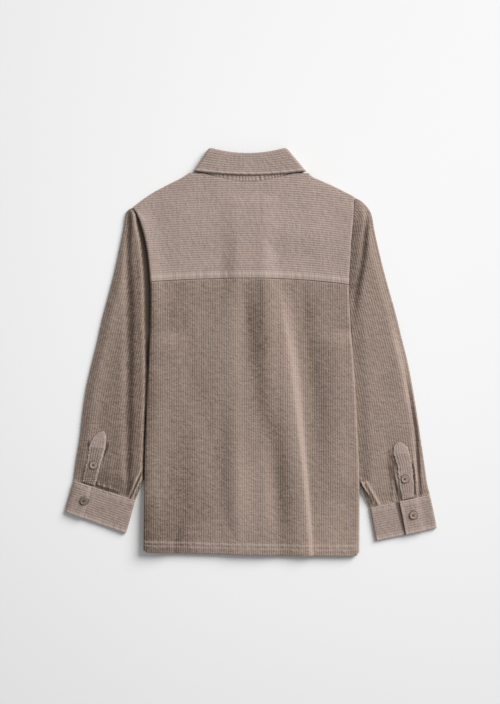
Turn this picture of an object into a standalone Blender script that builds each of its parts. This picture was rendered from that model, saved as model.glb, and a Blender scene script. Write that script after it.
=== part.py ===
"""A child's wide-wale corduroy overshirt, laid flat on its front with its back up.

Sizes here are in millimetres and become metres when a mesh is made. +X is the
garment's right-hand side as seen, +Y runs up to the collar and +Z is up. The
surface that the garment lies on is z = 0.
"""

import math
from collections import namedtuple

import bmesh
import bpy
from mathutils import Vector

MM = 0.001

# Cloth, seams and layers
CLOTH = 2.0
BAND = 2.4
STAND = 1.6
SEAM = 0.3
EASE = 0.8
WALE = 3.5
WALE_RISE = 0.8

# Heights that the hidden layers add
BUTTON_LIFT = 2.7
EDGE_LIFT = 5.3
ROLL_IN = 3.2
LAP_LIFT = 2.3
SLEEVE_SWELL = 2.4

# Buttons
BUTTON_WIDTH = 11.4
BUTTON_DEPTH = 2.3
HOLE_WIDTH = 1.7
HOLE_SPREAD = 3.3

# Front closure
PLACKET_WIDTH = 30.0
FRONT_BUTTONS = 6
FRONT_BUTTON_TOP = 170.0
FRONT_BUTTON_PITCH = 78.0

# Left and right edges of the body, down from the collar: shoulder, armhole, side
Edge = namedtuple("Edge", "y x")
LEFT_EDGE = (
    Edge(278, -95), Edge(271, -105), Edge(264, -119), Edge(256, -135), Edge(248, -150),
    Edge(240, -162.5), Edge(232, -173), Edge(224, -182), Edge(216, -177.5), Edge(205, -172.5),
    Edge(190, -167.5), Edge(174, -163.5), Edge(143, -158.5), Edge(109, -155.5), Edge(42, -155.5),
    Edge(-45, -159), Edge(-120, -162.5), Edge(-196, -164.5), Edge(-234, -165), Edge(-320, -166),
)
RIGHT_EDGE = (
    Edge(278, 88.5), Edge(271, 96), Edge(264, 112), Edge(256, 130), Edge(248, 146),
    Edge(240, 160), Edge(232, 159.6), Edge(224, 159.3), Edge(216, 159), Edge(205, 158.5),
    Edge(190, 157), Edge(174, 155.5), Edge(143, 153.8), Edge(109, 152), Edge(42, 154.5),
    Edge(-45, 160.5), Edge(-120, 164.5), Edge(-196, 167.5), Edge(-320, 167.5),
)
SHOULDER_TIP = {-1: 224.0, 1: 240.0}
UNDERARM = 42.0

# Yoke seam, as an arch that falls further on the right, and hem from left to right
Line = namedtuple("Line", "x y")
YOKE_SEAM_TOP = Line(4, 114.6)
YOKE_SEAM_DROP = {-1: 5.2, 1: 11.0}
YOKE_SEAM_REACH = 155.0
HEM = (Line(-166, -306), Line(-161, -308), Line(-116, -310.5), Line(-1, -313.5), Line(76, -315),
       Line(101, -315.4), Line(160, -315.4), Line(168, -308))
NECK_SIDE = 277.5
BACK_NECK = Line(-4, 265.5)
NECK_HALF = 69.0
FRONT_NECK_DROP = 51.0

# Rows where the body is sampled, from the hem to the yoke seam and on to the neck
BODY_ROWS = (-234, -196, -120, -45, 11, 42)
SHOULDER_ROWS = (109, 143, 174, 190, 205, 216, 224, 232, 240, 248, 256, 264, 271)

# Columns of a plain face, as shares of the way from a side to the centre front
COLUMNS = (0.0, 0.13, 0.20, 0.27, 0.35, 0.43, 0.66, 0.74, 0.81, 0.88, 1.0)
LEFT_CENTRE = -15.3
RIGHT_CENTRE = -12.0

# Long soft folds of the back: height and half width where each row crosses it
Fold = namedtuple("Fold", "y x rise spread")
BACK_RIDGE = (Fold(118, 55, 0.3, 9), Fold(90, 57, 2.0, 10), Fold(-20, 70, 2.7, 13),
              Fold(-116, 78, 2.7, 14), Fold(-175, 84, 2.4, 14), Fold(-320, 96, 1.6, 12))
BACK_PLATEAU = (Fold(118, -34, 0.2, 22), Fold(60, -38, 1.2, 26), Fold(-60, -42, 1.5, 30),
                Fold(-190, -20, 1.0, 30), Fold(-320, -10, 0.3, 26))

# Sleeves: each section runs from the outer edge to the inner one
Section = namedtuple("Section", "outer_x outer_y inner_x inner_y")
LEFT_SLEEVE = (
    Section(-182.5, 224, -156, 42), Section(-191.5, 217.5, -156.4, 37.5),
    Section(-196.5, 190, -156.8, 31.5), Section(-203, 159, -157.2, 24.5),
    Section(-210.5, 124.5, -157.6, 17.5), Section(-220.5, 86, -157.4, 8),
    Section(-230, 50, -152, -6), Section(-238, 14.5, -145, -20),
    Section(-246.5, -20, -141, -43), Section(-254.5, -55.5, -141, -77),
    Section(-260, -92.5, -144, -114), Section(-264.5, -131.5, -149, -151.5),
    Section(-270, -165.5, -161, -186), Section(-273, -187, -171, -209),
    Section(-274.2, -197.6, -178.9, -228.1),
)
RIGHT_SLEEVE = (
    Section(160.8, 239.5, 155.2, 42), Section(174, 231.5, 155.8, 37),
    Section(186, 214.5, 156.5, 31.5), Section(191.5, 186.5, 157.2, 25),
    Section(201.5, 143, 157.9, 17.5), Section(212.5, 101, 157.6, 7.5),
    Section(223.5, 62.5, 149, -6), Section(232.5, 25.5, 143, -21),
    Section(242, -12, 141, -46), Section(249.5, -50.5, 142, -80),
    Section(256.5, -92.5, 146, -116), Section(263, -136, 150.5, -151.5),
    Section(268, -170, 163.5, -188.5), Section(273, -204, 174.5, -218),
    Section(277.3, -219.6, 183.8, -239.8),
)

UNDER_COLUMNS = (1.0, 0.8, 0.6, 0.4, 0.2, 0.0)

# Creases that run down each sleeve: depth as a share of the swell
Crease = namedtuple("Crease", "y x depth spread")
LEFT_CREASES = (
    (Crease(215, -189, 0.5, 4), Crease(143, -189, 1.0, 5), Crease(73, -184.5, 1.0, 5),
     Crease(4, -184.5, 1.0, 5), Crease(-58, -187.5, 0.9, 5), Crease(-136, -189, 0.8, 5),
     Crease(-205, -190, 0.6, 5)),
)
RIGHT_CREASES = (
    (Crease(215, 178.5, 0.6, 4), Crease(159, 175.5, 1.0, 5), Crease(97, 166, 1.0, 5),
     Crease(50, 163, 0.3, 5), Crease(20, 162, 0.0, 5)),
    (Crease(-20, 238, 0.0, 4), Crease(-58, 245, 0.7, 5), Crease(-105, 251, 1.0, 5),
     Crease(-156, 256, 1.0, 5), Crease(-207, 261, 0.5, 5)),
)

# Cuffs: corners of each, the outer side first, and where the lapped ends lie
Cuff = namedtuple("Cuff", "outer_top inner_top inner_bottom outer_bottom lap_end lap")
LEFT_CUFF = Cuff((-274.2, -198.4), (-178.9, -228.9), (-193.1, -280.1), (-288.1, -246.0), 30.0, 20.0)
RIGHT_CUFF = Cuff((277.3, -220.4), (183.8, -240.6), (193.3, -291.7), (288.0, -271.8), 49.0, 20.0)

# Sleeve plackets: pairs of edge points from the cuff to the tip
Pair = namedtuple("Pair", "left_x left_y right_x right_y")
LEFT_PLACKET = (
    Pair(-260.5, -200.5, -244.5, -206.0), Pair(-257, -184, -237, -190),
    Pair(-252, -162, -231, -164.5), Pair(-249.5, -146, -228.5, -147.5),
    Pair(-247.5, -141.5, -224.5, -131.5), Pair(-230.5, -122, -227.5, -120.5),
)
RIGHT_PLACKET = (
    Pair(234.5, -228.5, 252, -224.5), Pair(228, -195, 250.5, -191.5),
    Pair(225.5, -173, 248, -170), Pair(220, -156, 244.5, -156),
    Pair(220.5, -145.5, 241.5, -146), Pair(226, -139, 233, -139),
)
BUTTON_PLACES = {
    "placket_button_left": (-242.9, -173.9),
    "cuff_button_left": (-257.9, -229.6),
    "placket_button_right": (237.8, -195.6),
    "cuff_button_right": (250.9, -251.6),
}

# Collar leaf: ends of its fold line and of its free edge on the back, and its front wings
LEAF_FOLD = (Line(-65.5, 315.4), Line(56, 315.4))
LEAF_EDGE = (Line(-89, 279.5), Line(86, 279.5))
LEAF_FOLD_DIP = 7.5
LEAF_EDGE_DIP = 5.6
LEAF_TOP = 11.7
WING_STEPS = 3
WING_FOLD_END = Line(7.0, 258)
WING_POINT = Line(46, 203)

CORD_DARK = (0.265, 0.205, 0.165, 1.0)
CORD_LIGHT = (0.37, 0.295, 0.25, 1.0)
BUTTON_BROWN = (0.30, 0.23, 0.19, 1.0)


def clamp(value):
    return max(0.0, min(1.0, value))


def ease(value, start, end):
    """A soft step from 0 at start to 1 at end."""
    share = clamp((value - start) / (end - start))
    return share * share * (3 - 2 * share)


def mix(start, end, share):
    return start + (end - start) * share


def read(table, key, column, value):
    """The column's value at a place along the table's key column."""
    rows = sorted(table, key=lambda row: getattr(row, key))
    if value <= getattr(rows[0], key):
        return getattr(rows[0], column)
    for low, high in zip(rows, rows[1:]):
        if value <= getattr(high, key):
            span = getattr(high, key) - getattr(low, key)
            share = (value - getattr(low, key)) / span
            return mix(getattr(low, column), getattr(high, column), share)
    return getattr(rows[-1], column)


def edge_x(side, y):
    return read(LEFT_EDGE if side < 0 else RIGHT_EDGE, "y", "x", y)


def spread_evenly(start, end, count):
    return [mix(start, end, step / (count - 1)) for step in range(count)]


# Mesh making

def sheet(bm, rows, ring):
    """A grid of quads laid over rows of points. Returns its vertices by row."""
    wide = len(rows[0])
    made = bmesh.ops.create_grid(bm, x_segments=wide - 1, y_segments=len(rows) - 1, size=1)
    vertices = made["verts"]
    lines = [vertices[start:start + wide] for start in range(0, len(vertices), wide)]
    for line, row in zip(lines, rows):
        for vertex, place in zip(line, row):
            vertex.co = Vector(place) * MM
    if ring:
        for low, high in zip(lines, lines[1:]):
            bm.faces.new((low[-1], low[0], high[0], high[-1]))
    return lines


def close_rim(bm, one, two):
    """Fill between two chains of vertices that differ in number, by the shorter diagonal."""
    here, there = 0, 0
    while here < len(one) - 1 or there < len(two) - 1:
        step_one = here < len(one) - 1
        if step_one and there < len(two) - 1:
            across_one = (one[here + 1].co - two[there].co).length
            across_two = (one[here].co - two[there + 1].co).length
            step_one = across_one <= across_two
        if step_one:
            bm.faces.new((one[here], one[here + 1], two[there]))
            here += 1
        else:
            bm.faces.new((two[there], two[there + 1], one[here]))
            there += 1


def add_object(name, bm, material, smooth=True):
    bmesh.ops.recalc_face_normals(bm, faces=bm.faces)
    mesh = bpy.data.meshes.new(name)
    bm.to_mesh(mesh)
    bm.free()
    if smooth:
        mesh.shade_smooth()
        mesh.set_sharp_from_angle(angle=math.radians(50))
    piece = bpy.data.objects.new(name, mesh)
    piece.data.materials.append(material)
    bpy.data.collections["overshirt"].objects.link(piece)
    return piece


def add_wall(name, material, outer, inner, ring=False):
    """A closed wall of cloth between an outer face and a plainer inner one."""
    bm = bmesh.new()
    out = sheet(bm, outer, ring)
    lining = sheet(bm, inner, ring)
    if ring:
        close_rim(bm, out[0] + out[0][:1], lining[0] + lining[0][:1])
        close_rim(bm, out[-1] + out[-1][:1], lining[-1] + lining[-1][:1])
    else:
        close_rim(bm, out[0], lining[0])
        close_rim(bm, out[-1], lining[-1])
        close_rim(bm, [row[0] for row in out], [row[0] for row in lining])
        close_rim(bm, [row[-1] for row in out], [row[-1] for row in lining])
    return add_object(name, bm, material)


def cloth_material(name, colour, roughness):
    material = bpy.data.materials.new(name)
    material.use_nodes = True
    shader = material.node_tree.nodes["Principled BSDF"]
    shader.inputs["Base Color"].default_value = colour
    shader.inputs["Roughness"].default_value = roughness
    shader.inputs["Metallic"].default_value = 0.0
    return material


# Heights of the body's layers

def side_lift(side, y):
    """How far the body's side is raised by the sleeve that is tucked under it."""
    return ease(y, UNDERARM, 11) * ease(y, -234, -196)


def rise(x, y):
    """Height of the fronts' outer face over the surface."""
    buttons = BUTTON_LIFT * ease(abs(x), 46, 17)
    wings = BUTTON_LIFT * ease(abs(x), 160, 88) * ease(y, 143, 190)
    sides = 0.0
    for side in (-1, 1):
        inward = side * (edge_x(side, y) - x)
        sides = max(sides, EDGE_LIFT * side_lift(side, y) * ease(inward, 60, 22))
    return max(buttons, wings, sides)


def lapped(x, y, reach):
    """Extra height where the right front's band lies over the placket."""
    return LAP_LIFT * ease(abs(x), reach, 18) * ease(y, 252, 228)


def fold_height(table, x, y):
    offset = (x - read(table, "y", "x", y)) / read(table, "y", "spread", y)
    return read(table, "y", "rise", y) * math.exp(-offset * offset)


def back_under(x, y):
    """Height of the inner face of the back and the yoke."""
    folds = max(fold_height(BACK_RIDGE, x, y), fold_height(BACK_PLATEAU, x, y))
    folds *= ease(y, 128, 100)
    return rise(x, y) + CLOTH + EASE + lapped(x, y, 50) + folds


def seam_share(side, y):
    """0 where the body's wall ends at the armhole, 1 where it rolls over at a side."""
    tip = SHOULDER_TIP[side]
    return max(ease(y, UNDERARM, UNDERARM - 12), ease(y, tip - 2, tip + 8))


def middle_height(x, y):
    """Height of the seam between the fronts and the back at a rolled edge."""
    return rise(x, y) + (2 * CLOTH + EASE) / 2


# Body panels

def row_ends(line):
    """The x of both ends of a row whose y depends on x."""
    ends = []
    for side in (-1, 1):
        x = 150.0 * side
        for _ in range(6):
            x = edge_x(side, line(x))
        ends.append(x)
    return ends


def rolled_edge(side, x, y, above):
    """Points from a panel's edge in over its roll: outer face, then inner face."""
    share = seam_share(side, y)
    flip = 1 if above else -1
    middle = middle_height(x, y)
    if above:
        face = back_under(x, y) + CLOTH
        level = mix(face - CLOTH, middle + SEAM / 2, share)
    else:
        face = rise(x, y)
        level = mix(face + CLOTH, middle - SEAM / 2, share)
    depth = (face - level) * flip
    roll = mix(1.0, 2.4, share)
    outer = []
    for angle in (0, 50):
        turn = math.radians(angle)
        inset = roll * (1 - math.cos(turn))
        outer.append((x - side * inset, y, level + flip * depth * math.sin(turn)))
    start = mix(0.5, CLOTH, share)
    inner = [(x - side * start, y, level)]
    return outer, inner


def fine_row(line, count, height):
    """A row of a panel's outer face with evenly spaced points between its rolled edges."""
    left, right = row_ends(line)
    start, _ = rolled_edge(-1, left, line(left), True)
    end, _ = rolled_edge(1, right, line(right), True)
    middle = []
    for step in range(count + 1):
        x = mix(left + ROLL_IN, right - ROLL_IN, step / count)
        middle.append((x, line(x), height(x, line(x), step)))
    return start + middle + end[::-1]


def plain_row(line):
    """A row of a panel's inner face, on the columns that the fronts have too."""
    left, right = row_ends(line)
    _, start = rolled_edge(-1, left, line(left), True)
    _, end = rolled_edge(1, right, line(right), True)
    places = [mix(left + ROLL_IN, LEFT_CENTRE, share) for share in COLUMNS]
    places += [mix(right - ROLL_IN, RIGHT_CENTRE, share) for share in reversed(COLUMNS)]
    middle = [(x, line(x), back_under(x, line(x))) for x in places]
    return start + middle + end


def zigzag(number):
    return WALE_RISE if number % 2 else 0.0


def yoke_seam(x):
    away = x - YOKE_SEAM_TOP.x
    drop = YOKE_SEAM_DROP[-1 if away < 0 else 1]
    return YOKE_SEAM_TOP.y - drop * (away / YOKE_SEAM_REACH) ** 2


def add_back(material):
    """The back: vertical wales, from the hem up to the yoke seam."""
    count = 2 * round(333 / WALE)
    lines = [lambda x: read(HEM, "x", "y", x)]
    lines += [lambda x, y=y: y for y in BODY_ROWS]
    lines.append(lambda x: yoke_seam(x) - SEAM)

    def ribbed(x, y, step):
        return back_under(x, y) + CLOTH + zigzag(step)

    outer = [fine_row(line, count, ribbed) for line in lines]
    inner = [plain_row(line) for line in lines]
    return add_wall("back", material, outer, inner)


def neck_line(x):
    """The back neck seam: a shallow curve between the shoulders."""
    share = clamp(abs(x - BACK_NECK.x) / NECK_HALF)
    return mix(BACK_NECK.y, NECK_SIDE, share * share) - SEAM


def yoke_line(share):
    return lambda x: mix(yoke_seam(x) + SEAM, neck_line(x), share)


def add_yoke(material):
    """The yoke: horizontal wales, from its seam up to the neck and the shoulders."""
    steps = 2 * round(167 / WALE)
    outer = []
    for step in range(steps + 1):
        height = lambda x, y, _, lift=zigzag(step): back_under(x, y) + CLOTH + lift
        outer.append(fine_row(yoke_line(step / steps), 6, height))
    inner = [plain_row(yoke_line(step / 10)) for step in range(11)]
    return add_wall("yoke", material, outer, inner)


def front_neck_x(side, y):
    """The front neck curve, or the centre front below it."""
    drop = (NECK_SIDE + 3.5 - y) / FRONT_NECK_DROP
    curve = (NECK_HALF + 1.5) * math.sqrt(max(0.0, 1 - drop * drop))
    neck = BACK_NECK.x + side * curve
    if side < 0:
        return min(neck, LEFT_CENTRE) if drop < 1 else LEFT_CENTRE
    return max(neck, RIGHT_CENTRE) if drop < 1 else RIGHT_CENTRE


def add_front(name, side, material):
    """A front, plain below where it lies on the surface, up to the shoulder and the neck."""
    lines = [lambda x: read(HEM, "x", "y", x)]
    lines += [lambda x, y=y: y for y in BODY_ROWS + SHOULDER_ROWS]
    outer, inner = [], []
    for line in lines:
        edge = row_ends(line)[0 if side < 0 else 1]
        roll_out, roll_in = rolled_edge(side, edge, line(edge), False)
        end = front_neck_x(side, line(0.0))
        below, above = [], []
        for share in COLUMNS:
            x = mix(edge - side * ROLL_IN, end, share)
            y = line(x)
            under = rise(x, y) + (lapped(x, y, 34) if side > 0 else 0.0)
            below.append((x, y, under))
            above.append((x, y, under + CLOTH))
        outer.append((roll_out + below)[::-side])
        inner.append((roll_in + above)[::-side])
    return add_wall(name, material, outer, inner)


def add_front_placket(material):
    """The band down the centre front, buttoned over the right front."""
    rows = (-313,) + BODY_ROWS + (109, 143, 174, 190, 205, 221)
    half = PLACKET_WIDTH / 2
    lower = [[(x, y, rise(x, y)) for x in (-half, 0.0, half)] for y in rows]
    upper = [[(x, y, rise(x, y) + CLOTH) for x in (-half, 0.0, half)] for y in rows]
    return add_wall("front_placket", material, lower, upper)


# Sleeves

def crease_share(creases, x, y):
    left = 1.0
    for table in creases:
        offset = (x - read(table, "y", "x", y)) / read(table, "y", "spread", y)
        left *= 1 - read(table, "y", "depth", y) * math.exp(-offset * offset)
    return left


def sleeve_swell(side, x, y):
    """Height of the sleeve's upper wall over its flattest, by its place in plan."""
    table = LEFT_SLEEVE if side < 0 else RIGHT_SLEEVE
    creases = LEFT_CREASES if side < 0 else RIGHT_CREASES
    outer = side * (read(table, "outer_y", "outer_x", y) - x)
    inner = side * (x - edge_x(side, y)) if y > -200 else 30.0
    plump = ease(outer, 0, 16) * ease(inner, 2.5, 10) * ease(y, -242, -200)
    return SLEEVE_SWELL * plump * crease_share(creases, x, y)


def sleeve_place(side, number, share):
    """Plan position on a sleeve section. The first one follows the armhole seam."""
    table = LEFT_SLEEVE if side < 0 else RIGHT_SLEEVE
    row = table[number]
    x = mix(row.outer_x, row.inner_x, share)
    y = mix(row.outer_y, row.inner_y, share)
    first = table[0]
    seam_y = mix(first.outer_y, first.inner_y, share)
    bow = edge_x(side, seam_y) + side * 0.7 - mix(first.outer_x, first.inner_x, share)
    fade = max(0.0, 1 - number / 5) ** 1.5
    return x + bow * fade, y


def sleeve_width(side, number):
    row = (LEFT_SLEEVE if side < 0 else RIGHT_SLEEVE)[number]
    return math.hypot(row.inner_x - row.outer_x, row.inner_y - row.outer_y)


def tube_section(side, number, fine, swell_at):
    """Rings of points round one sleeve section: the outer face and the inner face."""
    wide = sleeve_width(side, number)
    tall = 2 * CLOTH + EASE
    middle = tall / 2
    roll = 2.4

    def point(inset, height):
        x, y = sleeve_place(side, number, inset / wide)
        return (x, y, height)

    angles = [math.radians(angle) for angle in (0, 55)]
    outer, inner = [], []
    for turn in angles:
        outer.append(point(roll * (1 - math.cos(turn)), middle + middle * math.sin(turn)))
    for step in range(2 * fine + 1):
        inset = mix(roll, wide - roll, step / (2 * fine))
        x, y, _ = point(inset, 0)
        shown = side * (x - edge_x(side, y)) > 2.5 and 0 < step < 2 * fine
        rib = zigzag(step) if shown else 0.0
        outer.append((x, y, tall + swell_at(side, x, y) + rib))
    for turn in reversed(angles):
        inset = wide - roll * (1 - math.cos(turn))
        outer.append(point(inset, middle + middle * math.sin(turn)))
    for turn in angles[1:]:
        inset = wide - roll * (1 - math.cos(turn))
        outer.append(point(inset, middle - middle * math.sin(turn)))
    for share in UNDER_COLUMNS:
        outer.append(point(mix(roll, wide - roll, share), 0.0))
    for turn in reversed(angles[1:]):
        outer.append(point(roll * (1 - math.cos(turn)), middle - middle * math.sin(turn)))

    hollow = EASE / 2
    inner.append(point(CLOTH, middle))
    for step in range(9):
        inset = mix(CLOTH + hollow, wide - CLOTH - hollow, step / 8)
        x, y, _ = point(inset, 0)
        inner.append((x, y, middle + hollow + swell_at(side, x, y)))
    inner.append(point(wide - CLOTH, middle))
    for share in UNDER_COLUMNS:
        inner.append(point(mix(CLOTH + hollow, wide - CLOTH - hollow, share), middle - hollow))
    return outer, inner


def add_sleeve(name, side, material):
    """A sleeve: one flattened tube from the armhole seam down to the cuff, open at both ends."""
    outer, inner = [], []
    for number in range(len(LEFT_SLEEVE)):
        out, lining = tube_section(side, number, 26, sleeve_swell)
        outer.append(out)
        inner.append(lining)
    return add_wall(name, material, outer, inner, ring=True)


def sleeve_top(side, x, y):
    """Height that clears the sleeve's wales round a place."""
    around = [(x + dx, y + dy) for dx in (-5, 0, 5) for dy in (-8, 0, 8)]
    return 2 * CLOTH + EASE + max(sleeve_swell(side, *place) for place in around) + WALE_RISE


def add_sleeve_placket(name, side, pairs, material):
    """The placket strip that edges the sleeve's opening, laid on the sleeve's upper face."""
    lower, upper = [], []
    for pair in pairs:
        low, high = [], []
        for share in (0.0, 0.5, 1.0):
            x = mix(pair.left_x, pair.right_x, share)
            y = mix(pair.left_y, pair.right_y, share)
            base = sleeve_top(side, x, y) + SEAM
            low.append((x, y, base))
            high.append((x, y, base + STAND))
        lower.append(low)
        upper.append(high)
    return add_wall(name, material, upper, lower)


# Cuffs

def cuff_frame(cuff):
    """Width of the cuff and a function from its width and height shares to the plan."""
    wide = math.dist(cuff.outer_top, cuff.inner_top)

    def place(along, share):
        at = along / wide
        top = [mix(a, b, at) for a, b in zip(cuff.outer_top, cuff.inner_top)]
        bottom = [mix(a, b, at) for a, b in zip(cuff.outer_bottom, cuff.inner_bottom)]
        return mix(bottom[0], top[0], share), mix(bottom[1], top[1], share)

    return wide, place


def cuff_paths(cuff):
    """The band's route round the wrist as (along, height, ribbed), outer and inner face."""
    wide, _ = cuff_frame(cuff)
    low = BAND + EASE
    lift = BAND + SEAM
    under_start = cuff.lap_end - cuff.lap

    def level(along):
        return low + lift * ease(along, under_start - 14, under_start - 1)

    outer, inner = [], []
    inner_roll = (low + BAND) / 2
    for along in spread_evenly(under_start, wide - inner_roll, 4):
        outer.append((along, low + BAND, along > cuff.lap_end - 6))
        inner.append((along, low, False))
    for angle in (35, -35):
        turn = math.radians(angle)
        tight = inner_roll - BAND
        outer.append((wide - inner_roll * (1 - math.cos(turn)),
                      inner_roll * (1 + math.sin(turn)), False))
        inner.append((wide - inner_roll + tight * math.cos(turn),
                      inner_roll + tight * math.sin(turn), False))
    outer_roll = (level(0.0) + BAND) / 2
    for along in spread_evenly(wide - inner_roll, outer_roll, 3):
        outer.append((along, 0.0, False))
        inner.append((along, BAND, False))
    for angle in (-35, 35):
        turn = math.radians(angle)
        tight = outer_roll - BAND
        outer.append((outer_roll * (1 - math.cos(turn)),
                      outer_roll * (1 + math.sin(turn)), False))
        inner.append((outer_roll - tight * math.cos(turn),
                      outer_roll + tight * math.sin(turn), False))
    for along in spread_evenly(outer_roll, cuff.lap_end, 4):
        outer.append((along, level(along) + BAND, True))
        inner.append((along, level(along), False))
    return outer, inner


def add_cuff(name, cuff, material):
    """A cuff: a band round the wrist whose buttoned end laps over the other."""
    _, place = cuff_frame(cuff)
    outer_path, inner_path = cuff_paths(cuff)
    wales = round(50 / WALE)
    outer, inner = [], []
    for step in range(2 * wales + 1):
        share = step / (2 * wales)
        row = []
        for along, height, ribbed in outer_path:
            x, y = place(along, share)
            rib = zigzag(step) if ribbed else 0.0
            row.append((x, y, height + rib))
        outer.append(row)
    for share in (0.0, 0.5, 1.0):
        inner.append([place(along, share) + (height,) for along, height, _ in inner_path])
    return add_wall(name, material, outer, inner)


# Collar

def leaf_back_line(ends, dip, share):
    left, right = ends
    x = mix(left.x, right.x, share)
    sag = 1 - (2 * share - 1) ** 2
    return x, left.y - dip * sag


def band_round(ends_fold, ends_edge, dips, top, bottom, thick, fold_end, edge_end, steps):
    """Stations of a band round the neck: each has its fold point, edge point and outward normal."""
    upper = top - thick / 2
    lower = bottom + thick / 2
    centre = (upper + lower) / 2
    radius = (upper - lower) / 2
    inset = radius + thick / 2
    stations = []

    def front_station(side, share):
        start_fold = ends_fold[0 if side < 0 else 1]
        start_edge = ends_edge[0 if side < 0 else 1]
        fold_x = mix(start_fold.x - side * inset, BACK_NECK.x + side * fold_end.x, share)
        edge_at = mix(start_edge.x - side * inset, BACK_NECK.x + side * edge_end.x, share)
        fold = Vector((fold_x, mix(start_fold.y, fold_end.y, share), lower))
        edge = Vector((edge_at, mix(start_edge.y, edge_end.y, share), lower))
        return fold, edge, Vector((0, 0, -1))

    def turn_station(side, angle):
        turn = math.radians(angle)
        out = Vector((side * math.sin(turn), 0, math.cos(turn)))
        points = []
        for ends in (ends_fold, ends_edge):
            end = ends[0 if side < 0 else 1]
            points.append(Vector((end.x - side * inset, end.y, centre)) + out * radius)
        return points[0], points[1], out

    for step in range(steps, 0, -1):
        stations.append(front_station(-1, step / steps))
    for angle in (180, 135, 90, 45):
        stations.append(turn_station(-1, angle))
    for step in range(7):
        share = step / 6
        fold_x, fold_y = leaf_back_line(ends_fold, dips[0], share)
        edge_at, edge_y = leaf_back_line(ends_edge, dips[1], share)
        shift = inset * (1 - 2 * share)
        stations.append((Vector((fold_x + shift, fold_y, upper)),
                         Vector((edge_at + shift, edge_y, upper)), Vector((0, 0, 1))))
    for angle in (45, 90, 135, 180):
        stations.append(turn_station(1, angle))
    for step in range(1, steps + 1):
        stations.append(front_station(1, step / steps))
    return stations


def add_band(name, stations, thick, wales, material):
    """A band round the neck, ribbed along its length where it faces up."""
    steps = max(2 * wales, 2)
    outer, inner = [], []
    for step in range(steps + 1):
        share = step / steps
        row = []
        for fold, edge, out in stations:
            rib = zigzag(step) * clamp(out.z) if wales else 0.0
            row.append(fold.lerp(edge, share) + out * (thick / 2 + rib))
        outer.append(row)
    for share in (0.0, 0.5, 1.0):
        inner.append([fold.lerp(edge, share) - out * (thick / 2) for fold, edge, out in stations])
    return add_wall(name, material, outer, inner)


def add_collar(material):
    stations = band_round(LEAF_FOLD, LEAF_EDGE, (LEAF_FOLD_DIP, LEAF_EDGE_DIP), LEAF_TOP - WALE_RISE,
                          0.0, BAND, WING_FOLD_END, WING_POINT, WING_STEPS)
    return add_band("collar", stations, BAND, 10, material)


def add_collar_stand(material):
    """The stand: a band inside the leaf, joined to the neck seam at its lower edge."""
    fold = (Line(LEAF_FOLD[0].x + 3.5, 312.5), Line(LEAF_FOLD[1].x - 3.5, 312.5))
    seam = (Line(BACK_NECK.x - NECK_HALF + 1, NECK_SIDE + 2.5),
            Line(BACK_NECK.x + NECK_HALF - 1, NECK_SIDE + 2.5))
    dips = (312.5 - 306.0, seam[0].y - BACK_NECK.y - SEAM)
    top = LEAF_TOP - WALE_RISE - BAND - SEAM
    stations = band_round(fold, seam, dips, top, BUTTON_LIFT, STAND, Line(1.2, 262), Line(1.2, 233), 4)
    return add_band("collar_stand", stations, STAND, 0, material)


# Buttons

def add_button(name, place, height, material, holes):
    """A four-hole shirt button with a raised rim."""
    bm = bmesh.new()
    radius = BUTTON_WIDTH / 2
    sides = 18 if holes else 14
    bmesh.ops.create_cone(bm, cap_ends=True, segments=sides, radius1=radius * MM,
                          radius2=radius * MM, depth=BUTTON_DEPTH * MM)
    up = 1 if holes else -1
    face = [f for f in bm.faces if f.normal.z * up > 0.9]
    bmesh.ops.inset_region(bm, faces=face, thickness=1.3 * MM, depth=0.0)
    for vertex in {v for f in face for v in f.verts}:
        vertex.co.z -= up * 0.5 * MM
    for vertex in bm.verts:
        vertex.co += Vector((place[0], place[1], height + BUTTON_DEPTH / 2)) * MM
    button = add_object(name, bm, material)
    if holes:
        button.modifiers.new("holes", "BOOLEAN").object = hole_cutter(name, place, height)
    return button


def hole_cutter(name, place, height):
    bm = bmesh.new()
    for turn in (45, 135, 225, 315):
        angle = math.radians(turn)
        made = bmesh.ops.create_cone(bm, cap_ends=True, segments=6, radius1=HOLE_WIDTH / 2 * MM,
                                     radius2=HOLE_WIDTH / 2 * MM, depth=3 * BUTTON_DEPTH * MM)
        offset = Vector((math.cos(angle), math.sin(angle), 0)) * HOLE_SPREAD / 2
        centre = Vector((place[0], place[1], height)) + offset
        bmesh.ops.translate(bm, verts=made["verts"], vec=centre * MM)
    mesh = bpy.data.meshes.new(name + "_holes")
    bm.to_mesh(mesh)
    bm.free()
    cutter = bpy.data.objects.new(name + "_holes", mesh)
    cutter.hide_render = True
    cutter.display_type = "WIRE"
    bpy.data.collections["cutters"].objects.link(cutter)
    return cutter


def add_buttons(material):
    for name, place in BUTTON_PLACES.items():
        side = 1 if place[0] > 0 else -1
        if name.startswith("placket"):
            around = [(place[0] + dx, place[1] + dy) for dx in (-5.7, 0, 5.7) for dy in (-5.7, 0, 5.7)]
            base = max(sleeve_top(side, x, y) for x, y in around) + SEAM + STAND
        else:
            base = 3 * BAND + EASE + SEAM + WALE_RISE
        add_button(name, place, base + SEAM, material, True)
    for number in range(FRONT_BUTTONS):
        y = FRONT_BUTTON_TOP - FRONT_BUTTON_PITCH * number
        add_button("front_button_%d" % (number + 1), (0.0, y), 0.0, material, False)


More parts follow.
